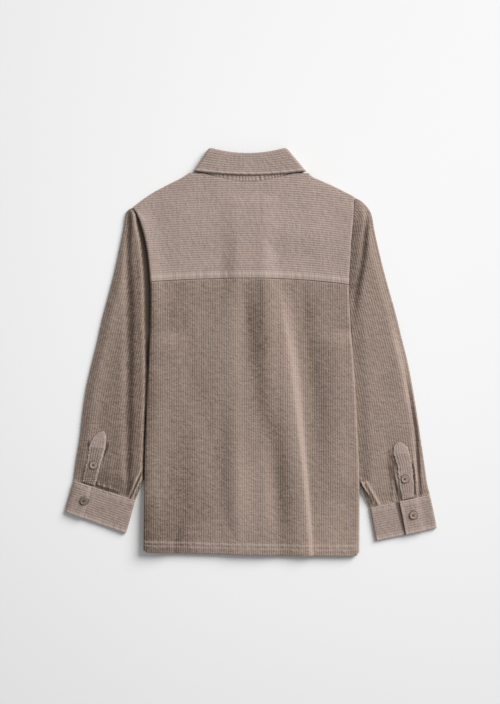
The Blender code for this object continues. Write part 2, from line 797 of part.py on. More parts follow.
def main():
    for item in list(bpy.data.objects):
        bpy.data.objects.remove(item, do_unlink=True)
    for name in ("overshirt", "cutters"):
        collection = bpy.data.collections.new(name)
        bpy.context.scene.collection.children.link(collection)
    dark = cloth_material("corduroy along the nap", CORD_DARK, 0.9)
    light = cloth_material("corduroy across the nap", CORD_LIGHT, 0.9)
    horn = cloth_material("matt button resin", BUTTON_BROWN, 0.45)
    add_back(dark)
    add_yoke(light)
    add_front("front_left", -1, dark)
    add_front("front_right", 1, dark)
    add_front_placket(dark)
    add_sleeve("sleeve_left", -1, dark)
    add_sleeve("sleeve_right", 1, dark)
    add_sleeve_placket("sleeve_placket_left", -1, LEFT_PLACKET, light)
    add_sleeve_placket("sleeve_placket_right", 1, RIGHT_PLACKET, light)
    add_cuff("cuff_left", LEFT_CUFF, light)
    add_cuff("cuff_right", RIGHT_CUFF, light)
    add_collar(light)
    add_collar_stand(dark)
    add_buttons(horn)


main()
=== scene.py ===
"""Looks of a child's wide-wale corduroy overshirt, laid flat with its back up.

Places and sizes are in millimetres and turn into metres where a mesh is made. They
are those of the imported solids: +Y runs up to the collar and z = 0 is the table.
"""

import math
from collections import namedtuple

import bmesh
import bpy
import numpy as np
from mathutils import Matrix, Vector


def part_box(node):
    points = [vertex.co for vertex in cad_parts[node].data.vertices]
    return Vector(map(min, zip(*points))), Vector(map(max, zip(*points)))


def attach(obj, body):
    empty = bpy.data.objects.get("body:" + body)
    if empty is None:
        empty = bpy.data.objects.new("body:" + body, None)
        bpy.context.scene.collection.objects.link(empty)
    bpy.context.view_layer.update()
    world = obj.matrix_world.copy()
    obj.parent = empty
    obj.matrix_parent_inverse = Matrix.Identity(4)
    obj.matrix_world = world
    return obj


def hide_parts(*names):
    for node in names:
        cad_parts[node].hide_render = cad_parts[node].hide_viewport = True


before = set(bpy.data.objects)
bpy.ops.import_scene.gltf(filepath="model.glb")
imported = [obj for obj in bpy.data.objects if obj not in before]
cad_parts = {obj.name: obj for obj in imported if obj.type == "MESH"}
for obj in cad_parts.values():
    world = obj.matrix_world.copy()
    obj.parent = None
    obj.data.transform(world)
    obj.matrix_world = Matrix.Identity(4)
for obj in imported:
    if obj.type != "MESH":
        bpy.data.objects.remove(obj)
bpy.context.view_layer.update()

# The table, the camera and the lamps. The shirt lies on a pale matt table under one
# large soft lamp at the upper right, and the white room fills in from all round.

MM = 0.001
VIEW_TALL = 1.091
VIEW_CENTRE = (-0.0014, 0.0005)
CAMERA_HEIGHT = 2.6
SENSOR = 36.0
LAMP_PLACE = Vector((4.95, 4.50, 4.41))
LAMP_WIDE = 5.4
LAMP_POWER = 872.0
ROOM_LIGHT = 0.35
TABLE_HALF = 4.0


class Wire:
    """A shader socket that takes part in Python's sums and makes further nodes."""

    def __init__(self, tree, socket=None):
        self.tree = tree
        self.socket = socket

    def make(self, kind, settings=None, sockets=None, out=0):
        """A node of a kind: its settings are set first, then its sockets' values or links."""
        node = self.tree.nodes.new("ShaderNode" + kind)
        for name, value in (settings or {}).items():
            if name == "stops":
                while len(node.color_ramp.elements) < len(value):
                    node.color_ramp.elements.new(0.5)
                for element, (place, colour) in zip(node.color_ramp.elements, value):
                    element.position = place
                    element.color = colour
            else:
                setattr(node, name, value)
        for name, value in (sockets or {}).items():
            if isinstance(value, Wire):
                self.tree.links.new(value.socket, node.inputs[name])
            else:
                node.inputs[name].default_value = value
        return Wire(self.tree, node.outputs[out])

    def maths(self, operation, *values):
        return self.make("Math", {"operation": operation}, dict(enumerate(values)))

    def __add__(self, other):
        return self.maths("ADD", self, other)

    def __sub__(self, other):
        return self.maths("SUBTRACT", self, other)

    def __mul__(self, other):
        return self.maths("MULTIPLY", self, other)

    def __pow__(self, other):
        return self.maths("POWER", self, other)

    def __rsub__(self, other):
        return self.maths("SUBTRACT", other, self)

    __radd__ = __add__
    __rmul__ = __mul__


def new_material(name, roughness):
    """A material with its shader, and a wire to start its nodes from."""
    material = bpy.data.materials.new(name)
    material.use_nodes = True
    shader = material.node_tree.nodes["Principled BSDF"]
    shader.inputs["Roughness"].default_value = roughness
    return material, shader, Wire(material.node_tree)


def link(wire, shader, socket):
    wire.tree.links.new(wire.socket, shader.inputs[socket])


def set_shader(shader, **values):
    """Sets sockets of the shader. Each underscore in a name stands for a space."""
    for name, value in values.items():
        shader.inputs[name.replace("_", " ")].default_value = value


def object_noise(start, scale, detail, **more):
    place = start.make("TexCoord", out="Object")
    sockets = {"Vector": place, "Scale": scale, "Detail": detail, **more}
    return start.make("TexNoise", sockets=sockets)


def colour_by(factor, shader, *stops):
    """The base colour from stops: a value of the factor, and its red, green and blue."""
    stops = [(value, (*colour, 1)) for value, colour in stops]
    link(factor.make("ValToRGB", {"stops": stops}, {"Fac": factor}), shader, "Base Color")


def matt_table():
    material, shader, start = new_material("matt white table", 0.9)
    place = start.make("TexCoord", out="Object")
    # A painted pool of light: the table is lighter towards its middle and darker farther out, with
    # a faint random cloud.
    away = start.make("VectorMath", {"operation": "LENGTH"}, {"Vector": place}, out="Value")
    colour_by(away + object_noise(start, 3.0, 2.0) * 0.05, shader,
              (0.30, (0.865, 0.865, 0.865)), (0.66, (0.81, 0.81, 0.81)))
    set_shader(shader, Specular_IOR_Level=0.1)
    return material


def put_in_scene(name, data):
    thing = bpy.data.objects.new(name, data)
    bpy.context.scene.collection.objects.link(thing)
    return thing


bm = bmesh.new()
bmesh.ops.create_grid(bm, x_segments=4, y_segments=4, size=TABLE_HALF)
table_mesh = bpy.data.meshes.new("table")
bm.to_mesh(table_mesh)
bm.free()
table_mesh.materials.append(matt_table())
put_in_scene("table", table_mesh)

camera_data = bpy.data.cameras.new("camera")
camera_data.sensor_width = SENSOR
camera_data.lens = SENSOR * CAMERA_HEIGHT / VIEW_TALL
camera = put_in_scene("camera", camera_data)
camera.location = (*VIEW_CENTRE, CAMERA_HEIGHT)
bpy.context.scene.camera = camera

lamp_data = bpy.data.lights.new("soft lamp", "AREA")
lamp_data.shape = "DISK"
lamp_data.size = LAMP_WIDE
lamp_data.energy = LAMP_POWER
lamp = put_in_scene("soft lamp", lamp_data)
lamp.location = LAMP_PLACE
lamp.rotation_euler = (-LAMP_PLACE).to_track_quat("-Z", "Y").to_euler()

room = bpy.data.worlds.new("white room")
room.use_nodes = True
sky = room.node_tree.nodes["Background"].inputs
sky["Color"].default_value = (1.0, 1.0, 1.0, 1)
sky["Strength"].default_value = ROOM_LIGHT
bpy.context.scene.world = room
bpy.context.scene.view_settings.view_transform = "Standard"

# The back: one panel of wide-wale cotton corduroy with its wales upright, from the
# turned and twice stitched hem to the yoke seam. It lies in a few long soft folds.

# Thickness of one layer, of a doubled band and of the stand, then the gap at a seam and
# the gap between two layers that lie on each other
CLOTH = 2.0
BAND = 2.4
STAND = 1.6
SEAM = 0.3
EASE = 0.8
WALE = 3.5
WALE_RISE = 0.36
ROLL_IN = 3.2
# How far the cloth is held up off the table: over the buttons, at the sides, where the
# fronts lap and at the hem. A side's low end is a share of its lift.
BUTTON_LIFT = 2.7
EDGE_LIFT = 5.3
LAP_LIFT = 2.3
HEM_LIFT = 3.0
LOW_EDGE = {-1: 1.6, 1: 0.3}
ARMHOLE_PUFF = {-1: 3.4, 1: 1.6}
SHOULDER_TIP = {-1: 224.0, 1: 240.0}
UNDERARM = 42.0
HEM_ROWS = (11.0, 17.0)
HEM_SWELL = 0.7
CENTRES = {-1: -15.3, 1: -12.0}

# The body's side edges, with -1 for the left side and 1 for the right one everywhere
Edge = namedtuple("Edge", "y x")


def table_of(kind):
    """A function that gives names to the columns of a table's rows."""
    return lambda *rows: [kind(*row) for row in rows]


edge_rows = table_of(Edge)
BODY_EDGES = {
    -1: edge_rows((278, -95), (271, -105), (264, -119), (256, -135), (248, -150), (240, -162.5),
        (232, -173), (224, -182), (216, -177.5), (205, -172.5), (190, -167.5), (174, -163.5),
        (143, -158.5), (109, -155.5), (42, -155.5), (-45, -159), (-120, -162.5), (-196, -164.5),
        (-234, -165), (-320, -166)),
    1: edge_rows((278, 88.5), (271, 96), (264, 112), (256, 130), (248, 146), (240, 160),
        (232, 159.6), (224, 159.3), (216, 159), (205, 158.5), (190, 157), (174, 155.5),
        (143, 153.8), (109, 152), (42, 154.5), (-45, 160.5), (-120, 164.5), (-196, 167.5),
        (-320, 167.5)),
}
Line = namedtuple("Line", "x y")
YOKE_SEAM_TOP = Line(4, 114.6)
YOKE_SEAM_DROP = {-1: 5.2, 1: 11.0}
YOKE_SEAM_REACH = 155.0
HEM = (Line(-167, -304), Line(-165, -307.5), Line(-161, -309), Line(-116, -310.5), Line(-1, -313.5),
       Line(76, -315), Line(160, -315.4), Line(165.5, -313.5), Line(168.5, -308))

# Folds of the back: where each crosses a row, its height and its half width there
Fold = namedtuple("Fold", "y x rise spread")
folds = table_of(Fold)
PLEAT = folds(
    (118, 42, 0.1, 20), (90, 44, 1.0, 26), (-20, 60, 3.4, 36), (-116, 71, 4.7, 34),
    (-175, 78, 4.6, 31), (-320, 90, 2.8, 28))
PLEAT_SHARP = 0.22
RIDGES = (
    folds((118, -36, 0.2, 18), (60, -38, 1.8, 22), (-60, -42, 2.2, 28), (-190, -20, 1.2, 30),
        (-320, -10, 0.5, 26)),
    folds((118, 112, 0.1, 14), (60, 116, 0.8, 16), (-60, 122, 1.1, 19), (-200, 128, 0.9, 20),
        (-320, 132, 0.4, 20)),
    folds((40, -110, 0.0, 16), (-60, -112, 0.6, 20), (-160, -96, 0.8, 24), (-250, -104, 0.7, 24),
        (-320, -112, 0.5, 18)))
TROUGHS = (
    folds((118, -6, 0.1, 10), (80, -3, 0.6, 11), (0, 4, 0.7, 13), (-77, 16, 0.8, 15),
        (-155, 34, 0.8, 15), (-252, 46, 0.6, 15), (-320, 50, 0.3, 15)),
    folds((118, 84, 0.1, 9), (80, 87, 0.6, 10), (0, 92, 0.5, 11), (-100, 104, 0.3, 12),
        (-320, 116, 0.0, 12)))

# Painted light and shade along the folds, as a share of the pile's tone: lighter where a
# fold faces the lamp, darker where it faces away. The first two lie up against the pleat and end
# sharply on its right.
PLEAT_LIGHT = (
    folds((60, 60, 0.04, 5), (0, 69, 0.18, 6), (-60, 75.5, 0.32, 5), (-116, 80, 0.42, 3.4),
        (-175, 85.5, 0.52, 2.4), (-250, 91.5, 0.52, 2.1), (-314, 96, 0.46, 2.1)),
    folds((112, 54, 0.06, 14), (60, 61, 0.28, 22), (-20, 70, 0.42, 24), (-80, 76, 0.38, 24),
        (-175, 84, 0.24, 20), (-310, 95, 0.12, 18)))
PAINTED_FOLD_SHADE = (
    folds((118, 14, -0.10, 16), (97, 14, -0.20, 18), (-20, 18, -0.27, 21), (-77, 22, -0.26, 20),
        (-154, 38, -0.20, 16), (-252, 49, -0.18, 14), (-310, 54, -0.10, 12)),
    folds((118, -7, 0.0, 6), (97, -6, -0.07, 6), (0, 2, -0.06, 7), (-40, 6, 0.0, 7)),
    folds((118, 84, 0.0, 8), (89, 87, -0.12, 9), (0, 92, -0.12, 10), (-80, 98, -0.06, 10),
        (-140, 102, 0.0, 9)),
    folds((118, -30, 0.0, 14), (81, -30, 0.16, 15), (-74, -30, 0.20, 16), (-130, -24, 0.14, 16),
        (-193, -14, 0.28, 19), (-260, -14, 0.20, 21), (-305, -14, 0.04, 20)),
    folds((110, -112, -0.08, 26), (0, -114, -0.14, 28), (-90, -114, -0.14, 28),
        (-180, -112, -0.22, 28), (-250, -118, -0.34, 40), (-310, -130, -0.37, 44)),
    folds((100, 122, -0.02, 18), (0, 126, -0.03, 18), (-120, 130, 0.03, 18), (-200, 128, 0.18, 22),
        (-310, 130, 0.12, 22)))


def ease(value, start, end):
    """A soft step from 0 at start to 1 at end."""
    share = np.clip((value - start) / (end - start), 0, 1)
    return share * share * (3 - 2 * share)


def mix(start, end, share):
    return start + (end - start) * share


def bell(away, width, power=2):
    """1 at no distance away, and softly down to 0 past the width."""
    return np.exp(-(away / width) ** power)


def grid_of(*parts):
    """Three parts of points, or of what the cloth attribute holds, spread over one grid."""
    return np.stack(np.broadcast_arrays(*parts), axis=2)


def thinned(rows, count):
    """So many of the rows, evenly picked, with the first and the last."""
    return rows[np.unique(np.linspace(0, len(rows) - 1, count).astype(int))]


def curve(table, key, column, at):
    """A smooth line through a table's column, read at places along its key column."""
    rows = sorted(table, key=lambda row: getattr(row, key))
    keys = np.array([getattr(row, key) for row in rows], float)
    values = np.array([getattr(row, column) for row in rows], float)
    slopes = np.gradient(values, keys)
    at = np.clip(at, keys[0], keys[-1])
    place = np.clip(np.searchsorted(keys, at, side="right") - 1, 0, len(keys) - 2)
    span = keys[place + 1] - keys[place]
    share = (at - keys[place]) / span
    start = slopes[place] * span
    end = slopes[place + 1] * span
    step = values[place + 1] - values[place]
    bend = share * (1 - share) * ((1 - share) * (start - step) - share * (end - step))
    return values[place] + step * share + bend


def edge_x(side, y):
    return curve(BODY_EDGES[side], "y", "x", y)


def hem_line(x):
    return np.interp(x, [spot.x for spot in HEM], [spot.y for spot in HEM])


def yoke_seam(x):
    away = x - YOKE_SEAM_TOP.x
    drop = np.where(away < 0, YOKE_SEAM_DROP[-1], YOKE_SEAM_DROP[1])
    return YOKE_SEAM_TOP.y - drop * (away / YOKE_SEAM_REACH) ** 2


def fold_height(table, x, y, sharp=1.0):
    """A rounded fold along a table's line. It can be steeper on its right."""
    away = x - curve(table, "y", "x", y)
    offset = away / (curve(table, "y", "spread", y) * np.where(away > 0, sharp, 1))
    return curve(table, "y", "rise", y) * np.exp(-offset * offset)


def rise(x, y):
    """Height of the fronts' lower face over the table."""
    buttons = BUTTON_LIFT * ease(np.abs(x), 46, 17)
    wings = BUTTON_LIFT * ease(np.abs(x), 160, 88) * ease(y, 143, 190)
    height = np.maximum(np.maximum(buttons, wings), HEM_LIFT * ease(y, -240, -305))
    for side in (-1, 1):
        inward = side * (edge_x(side, y) - x)
        lift = EDGE_LIFT * ease(y, UNDERARM, 11) * mix(LOW_EDGE[side], 1, ease(y, -234, -196))
        height = np.maximum(height, lift * ease(inward, 70, 18))
    return height


def lapped(x, y, reach):
    return LAP_LIFT * ease(np.abs(x), reach, 18) * ease(y, 252, 228)


def slack(x, y):
    """Small unevenness of a washed cloth that nobody has pressed."""
    slow = np.sin(x / 23 + y / 61) * np.sin(y / 37 - x / 90)
    quick = np.sin(x / 9.1 - y / 26 + 1.3) * np.sin(y / 13.7 + x / 31)
    return 0.30 * slow + 0.13 * quick


def back_under(x, y):
    """Height of the inner face of the back and the yoke."""
    swell = fold_height(PLEAT, x, y, PLEAT_SHARP)
    swell = swell + sum(fold_height(table, x, y) for table in RIDGES)
    swell = swell - sum(fold_height(table, x, y) for table in TROUGHS)
    puff = 0.0
    for side in (-1, 1):
        inward = side * (edge_x(side, y) - x)
        along = ease(y, 20, 60) * ease(y, SHOULDER_TIP[side] + 2, SHOULDER_TIP[side] - 22)
        puff = puff + ARMHOLE_PUFF[side] * bell(inward, 17) * along
    inside = ease(np.minimum(x - edge_x(-1, y), edge_x(1, y) - x), 0, 24)
    uneven = (slack(x, y) + 0.3) * inside
    return rise(x, y) + CLOTH + EASE + lapped(x, y, 50) + swell * ease(y, 128, 100) + puff + uneven


def wale(across, along):
    """Height of the pile: 0 in a groove, about 1 on a crown, pinched here and there."""
    number = np.floor(across)
    odd = np.modf(np.abs(np.sin(number * 12.99 + 4.1)) * 437.5)[0]
    crown = 2 * np.abs(across - np.round(across))
    pinch = np.sin(along * 2 * np.pi / (6.5 + 4 * odd) + 20 * odd)
    return (1 - (1 - crown) ** 2.4) * (0.86 + 0.14 * pinch)


def turned(distance, radius):
    """Share of the whole thickness near an edge that is turned or rolled."""
    left = np.clip(1 - distance / radius, 0, 1)
    return np.sqrt(1 - 0.97 * left * left)


NEAR_EDGE = np.array([0.0, 0.06, 0.25, 0.55, 1.0])


def edge_steps(length, radius, pitch):
    """Distances over a length: close together near both its edges, then evenly."""
    near = radius * NEAR_EDGE
    middle = np.linspace(radius, length - radius, max(2, round((length - 2 * radius) / pitch)))
    return np.concatenate([near, middle[1:-1], (length - near)[::-1]])


def body_ends(line, count):
    """Where each row of the body meets its left and right edge."""
    ends = []
    for side in (-1, 1):
        x = np.full((count, 1), 150.0 * side)
        for _ in range(12):
            x = edge_x(side, line(x))
        ends.append(x)
    return ends


ROLL_TURNS = np.radians([0.0, 16.0, 33.0, 50.0, 68.0])


def body_side(side, edge, line, under, top, above):
    """A panel's rolled side: columns round the roll, and the place of its inner face."""
    y = line(edge)
    flip = 1 if above else -1
    tip = SHOULDER_TIP[side]
    share = np.maximum(ease(y, UNDERARM, UNDERARM - 12), ease(y, tip - 2, tip + 8))
    middle = rise(edge, y) + (2 * CLOTH + EASE) / 2 + flip * SEAM / 2
    armhole = np.minimum(under(edge, y), 3.4) if above else under(edge, y)
    level = mix(armhole, middle, share)
    depth = top(edge, y) - level
    roll = mix(1.6, 2.6, share)
    columns = []
    for turn in ROLL_TURNS:
        x = edge - side * roll * (1 - math.cos(turn))
        columns.append(np.concatenate([x, y, level + depth * math.sin(turn)], axis=1))
    inner = np.concatenate([edge - side * mix(0.8, CLOTH, share), y, level], axis=1)
    return np.stack(columns, axis=1), inner[:, None]


def body_panel(line, count, columns, zone, under, top):
    """Outer and inner points of a body panel whose rows follow line(x).

    Its columns stand at fixed places, and zone columns fill in to each rolled side.
    """
    left, right = body_ends(line, count)
    start_out, start_in = body_side(-1, left, line, under, top, True)
    end_out, end_in = body_side(1, right, line, under, top, True)
    fill = np.linspace(0, 1, zone)[None, :-1]
    fixed = np.repeat(columns[None], count, axis=0)
    x = np.concatenate([mix(left + ROLL_IN, columns[0], fill), fixed,
                        mix(columns[-1], right - ROLL_IN, 1 - fill[:, ::-1])], axis=1)
    y = line(x)
    outer = np.concatenate([start_out, grid_of(x, y, top(x, y)), end_out[:, ::-1]], axis=1)
    x = mix(left + ROLL_IN, right - ROLL_IN, np.linspace(0.012, 0.988, 46)[None])
    y = line(x)
    inner = np.concatenate([start_in, grid_of(x, y, under(x, y)), end_in], axis=1)
    return outer, thinned(inner, 34)


def lay_points(bm, points, cloth, layer, ring):
    """A grid of faces laid over points[row, column]. Returns its vertices by row."""
    rows, wide = points.shape[:2]
    made = bmesh.ops.create_grid(bm, x_segments=wide - 1, y_segments=rows - 1, size=1)["verts"]
    for vertex, place, thread in zip(made, (points.reshape(-1, 3) * MM).tolist(),
                                     cloth.reshape(-1, 3).tolist()):
        vertex.co = place
        vertex[layer] = thread
    lines = [made[start:start + wide] for start in range(0, rows * wide, wide)]
    if ring:
        first = [bm.edges.get((a[0], b[0])) for a, b in zip(lines, lines[1:])]
        last = [bm.edges.get((a[-1], b[-1])) for a, b in zip(lines, lines[1:])]
        bmesh.ops.bridge_loops(bm, edges=first + last)
    return lines


def close_rim(bm, one, two):
    """Fill between two chains of vertices that differ in number, by the shorter diagonal."""
    here, there = 0, 0
    while here < len(one) - 1 or there < len(two) - 1:
        step_one = here < len(one) - 1
        if step_one and there < len(two) - 1:
            across_one = (one[here + 1].co - two[there].co).length_squared
            across_two = (one[here].co - two[there + 1].co).length_squared
            step_one = across_one <= across_two
        if step_one:
            bm.faces.new((one[here], one[here + 1], two[there]))
            here += 1
        else:
            bm.faces.new((two[there], two[there + 1], one[here]))
            there += 1


def add_wall(name, outer, inner, cloth, material, ring=False):
    """A closed wall of cloth between a detailed outer face and a plainer inner one."""
    bm = bmesh.new()
    layer = bm.verts.layers.float_vector.new("cloth")
    plain = inner * np.array([1 / WALE, 1.0, 0.0])
    out = lay_points(bm, outer, cloth, layer, ring)
    lining = lay_points(bm, inner, plain, layer, ring)
    if ring:
        close_rim(bm, out[0] + out[0][:1], lining[0] + lining[0][:1])
        close_rim(bm, out[-1] + out[-1][:1], lining[-1] + lining[-1][:1])
    else:
        close_rim(bm, out[0], lining[0])
        close_rim(bm, out[-1], lining[-1])
        close_rim(bm, [row[0] for row in out], [row[0] for row in lining])
        close_rim(bm, [row[-1] for row in out], [row[-1] for row in lining])
    bmesh.ops.recalc_face_normals(bm, faces=bm.faces)
    return finish_piece(name, bm, material)


def finish_piece(name, bm, material):
    """Makes the mesh a piece of the shirt that rides on its one body."""
    mesh = bpy.data.meshes.new(name)
    bm.to_mesh(mesh)
    bm.free()
    mesh.shade_smooth()
    mesh.set_sharp_from_angle(angle=math.radians(70))
    mesh.materials.append(material)
    piece = put_in_scene(name, mesh)
    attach(piece, "root")
    return piece


# Colours of a wale's crown and of the groove between wales: the crown is lighter where its pile is
# worn, and the groove darker with painted shade
CROWN = (0.415, 0.319, 0.267)
GROOVE = (0.150, 0.105, 0.080)
# The pile's colours: brightness, how deep the tone is, and share of the crown's colour.
# The lowest stop is painted deep shade, for the darkest creases and slits.
SHADES = ((0.0, 0.6, 0.0), (0.1, 0.95, 0.0), (0.55, 1.0, 0.6), (1.0, 1.0, 1.0))


def corduroy(name, crown, groove, rib_depth, relief):
    """Cotton corduroy: a soft pile on each wale, raised by brushing, and the bare ground between
    wales.

    The attribute cloth holds the wales counted across, millimetres along, and a tone that
    mixes worn pile with painted light and shade. The grooves take painted shade.
    """
    material, shader, start = new_material(name, 0.92)
    cloth = start.make("Attribute", {"attribute_name": "cloth"}, out="Vector")
    across, along, wear_and_painted_light = (start.make("SeparateXYZ", sockets={"Vector": cloth}, out=axis)
                           for axis in "XYZ")

    def pile_noise(per_wale, per_mm, detail, rough=0.55):
        spot = start.make("CombineXYZ", sockets={"X": across * per_wale, "Y": along * per_mm})
        return start.make("TexNoise", sockets={
            "Vector": spot, "Scale": 1.0, "Detail": detail, "Roughness": rough})

    sway = pile_noise(0.5, 0.13, 3.0) * 0.5 - 0.25
    from_groove = start.maths("PINGPONG", across + sway, 0.5) * 2
    rib = 1 - (1 - from_groove) ** 1.8
    tufts = pile_noise(1.3, 0.34, 3.0, 0.65)
    crinkle = pile_noise(0.36, 0.17, 4.0, 0.62)
    fibre = pile_noise(8.0, 1.6, 2.0, 0.7)
    nap = sum(object_noise(start, scale, 3.0, Roughness=0.55) * 0.5 for scale in (17.0, 60.0))
    pile = rib * 0.13 + rib * tufts ** 3 * 1.4
    bright = pile + crinkle * 0.62 + fibre * 0.18 + nap * 0.36 + wear_and_painted_light - 0.29
    colour_by(bright, shader, *((value, [deep * mix(a, b, share) for a, b in zip(groove, crown)])
                                for value, deep, share in SHADES))
    height = rib * rib_depth + (tufts + crinkle * 1.7 + fibre * 0.2) * relief
    bump = start.make("Bump", sockets={"Height": height, "Distance": MM, "Strength": 1.0})
    link(bump, shader, "Normal")
    link(0.97 - rib * 0.08, shader, "Roughness")
    set_shader(shader, Sheen_Weight=0.25, Sheen_Roughness=0.55, Sheen_Tint=(0.95, 0.88, 0.82, 1),
               Specular_IOR_Level=0.15)
    return material


body_cord = corduroy("corduroy with upright wales", CROWN, GROOVE, 0.15, 1.0)


def hem_distance(x, y):
    return y - hem_line(x)


def painted_slope_shade(height, x, y):
    """Painted light and shade: lighter where the cloth faces the lamp at the upper right or swells,
    darker where it faces away or sinks.
    """
    step = 4.0
    east, west = height(x + step, y), height(x - step, y)
    north, south = height(x, y + step), height(x, y - step)
    lean = -(east - west) * 0.6 - (north - south) * 0.35
    crest = 4 * height(x, y) - east - west - north - south
    return np.clip(0.075 * lean + 0.10 * crest, -0.3, 0.3)


def stitched_down(distance, rows, depth=0.55):
    """How far the cloth is drawn in along rows of stitching."""
    return sum(depth * bell(distance - row, 1.3) for row in rows)


def back_top(x, y):
    """Height of the back's outer face, without its wales."""
    hem = hem_distance(x, y)
    seam = yoke_seam(x) - SEAM - y
    band = HEM_SWELL * ease(hem, 19, 15)
    pucker = np.sin(x / 1.9 + 1.7 * np.sin(x / 17)) * bell(hem - 13, 6)
    gather = np.sin(x / 2.3 + 2 * np.sin(x / 23)) * ease(seam, 16, 2) * ease(seam, 0, 2)
    turn = turned(hem, 2.2) * mix(0.75, 1, turned(seam, 1.0))
    wall = CLOTH + band + 0.22 * pucker + 0.2 * gather - stitched_down(hem, HEM_ROWS)
    return back_under(x, y) + wall * turn


def back_face(x, y):
    return back_top(x, y) + WALE_RISE * wale(x / WALE, y) * turned(hem_distance(x, y), 2.2)


WALE_STEPS = np.array([0.0, 0.13, 0.31, 0.5, 0.69, 0.87])


def wale_places(first, last):
    """Places across the wales with these numbers, closer together on their flanks."""
    return ((np.arange(first, last)[:, None] + WALE_STEPS[None]) * WALE).ravel()


near = 0.006 * NEAR_EDGE
back_shares = np.concatenate([
    near, np.linspace(0.006, 0.06, 24)[1:], np.linspace(0.06, 0.94, 110)[1:],
    np.linspace(0.94, 0.994, 18)[1:], (1 - near[:-1])[::-1]])[:, None]


def back_line(x):
    return mix(hem_line(x), yoke_seam(x) - SEAM, back_shares)


def back_wear_and_painted_light(x, y):
    """Painted light and shade on the back's slopes, folds and edges, and the pile pressed lighter
    by the hem's stitches.
    """
    hem = hem_distance(x, y)
    stitches = sum(0.28 * bell(hem - row, 1.8) for row in HEM_ROWS)
    painted_folds = sum(fold_height(table, x, y) for table in PAINTED_FOLD_SHADE)
    painted_folds = painted_folds + sum(fold_height(table, x, y, 0.3) for table in PLEAT_LIGHT)
    # Painted highlight along the right edge, which faces the lamp, and painted shade along the left
    # one
    sides = 0.25 * bell(edge_x(1, y) - x - 1.5, 2.2) - 0.3 * bell(x - edge_x(-1, y), 10)
    # Painted light along the yoke seam and the hem's edge, over their shade
    ends = 0.2 * bell(yoke_seam(x) - y, 2.5) + 0.3 * bell(hem, 2.5)
    return stitches + painted_slope_shade(back_under, x, y) + painted_folds + sides + ends


back_columns = wale_places(-43, 42)
outer, inner = body_panel(back_line, len(back_shares), back_columns, 26, back_under, back_face)
x, y = outer[..., 0], outer[..., 1]
cloth = grid_of(x / WALE, y, back_wear_and_painted_light(x, y))
back = add_wall("back_panel", outer, inner, cloth, body_cord)
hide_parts("back")

# The yoke: the same corduroy cut across, so its wales lie level and catch the light.
# Its lower edge is turned under over the back and stitched down in two rows.

NECK_SIDE = 277.5
BACK_NECK = Line(-4, 265.5)
NECK_HALF = 69.0
YOKE_ROWS = (2.2, 9.5)
YOKE_TURN = 1.8


def neck_line(x):
    share = np.clip(np.abs(x - BACK_NECK.x) / NECK_HALF, 0, 1)
    return mix(BACK_NECK.y, NECK_SIDE, share * share) - SEAM


def yoke_drift(x, y):
    return 0.35 * np.sin((x + y) / 21) * np.sin((x - 1.6 * y) / 34)


def yoke_top(x, y):
    """Height of the yoke's outer face, without its wales."""
    seam = y - yoke_seam(x) - SEAM
    neck = neck_line(x) - y
    band = 0.6 * ease(seam, 12.5, 10)
    pucker = np.sin(x / 1.8 + 1.5 * np.sin(x / 19)) * bell(seam - 5, 4.5)
    wall = CLOTH + band + 0.2 * pucker + yoke_drift(x, y) - stitched_down(seam, YOKE_ROWS)
    wall = wall * mix(0.55, 1, turned(seam, 1.4)) * mix(0.45, 1, turned(neck, 4.0))
    return back_under(x, y) + wall


def yoke_wales(seam):
    """Wales counted up from the turned edge, where they are pressed flat."""
    return 0.5 + np.maximum(seam / WALE - 3, 0)


def yoke_face(x, y):
    seam = y - yoke_seam(x) - SEAM
    return yoke_top(x, y) + WALE_RISE * wale(yoke_wales(seam), x) * turned(seam, YOKE_TURN)


# Rows at even offsets over the seam first, then rows that share out the rest to the neck
near = YOKE_TURN * NEAR_EDGE[:-1]
yoke_rows = np.concatenate([near, np.arange(YOKE_TURN, WALE, 0.55), wale_places(1, 42)])[:, None]
yoke_fill = np.concatenate([np.linspace(0, 0.9, 30)[1:], [0.93, 0.955, 0.98, 0.992, 1.0]])[:, None]
yoke_offset = np.concatenate([yoke_rows, np.full_like(yoke_fill, yoke_rows[-1, 0])])
yoke_share = np.concatenate([np.zeros_like(yoke_rows), yoke_fill])


def yoke_line(x):
    level = yoke_seam(x) + SEAM + yoke_offset
    return mix(level, np.maximum(neck_line(x), level + 1), yoke_share)


# Lighter colours than the back's: painted light, for level wales that catch more of the lamp
trim_cord = corduroy("corduroy with level wales", (0.470, 0.371, 0.326), (0.262, 0.198, 0.168),
                     0.15, 0.75)
yoke_columns = np.linspace(-60, 55, 66)
outer, inner = body_panel(yoke_line, len(yoke_offset), yoke_columns, 34, back_under, yoke_face)
x, y = outer[..., 0], outer[..., 1]
seam_up = y - yoke_seam(x) - SEAM
# Painted light and shade by the yoke's slopes and swells
yoke_shade = painted_slope_shade(lambda x, y: back_under(x, y) + yoke_drift(x, y), x, y)
cloth = grid_of(yoke_wales(seam_up), x, 0.12 * bell(seam_up - 5.5, 4.5, 4) + 0.9 * yoke_shade)
yoke = add_wall("yoke_panel", outer, inner, cloth, trim_cord)
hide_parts("yoke")

# The fronts: two plain corduroy panels that lie face down on the table. They are seen
# from below, round the neck and at the rolled sides, where they meet the back.

FRONT_NECK_DROP = 51.0
FRONT_TOP = 271.0
PLACKET_HALF = 15.0
PLACKET_LOW = -313.0
PLACKET_TOP = 221.0

front_shares = edge_steps(1.0, 0.004, 0.0085)[:, None]
side_steps = np.concatenate([np.linspace(0, 0.97, 44), [0.985, 0.994, 0.998, 1.0]])[None]


def front_line(x):
    return mix(hem_line(x), FRONT_TOP, front_shares)


def front_neck_x(side, y):
    """The front neck curve, or the centre front below it."""
    drop = (NECK_SIDE + 3.5 - y) / FRONT_NECK_DROP
    neck = BACK_NECK.x + side * (NECK_HALF + 1.5) * np.sqrt(np.clip(1 - drop * drop, 0, None))
    centre = CENTRES[side]
    return np.where(drop < 1, side * np.maximum(side * neck, side * centre), centre)


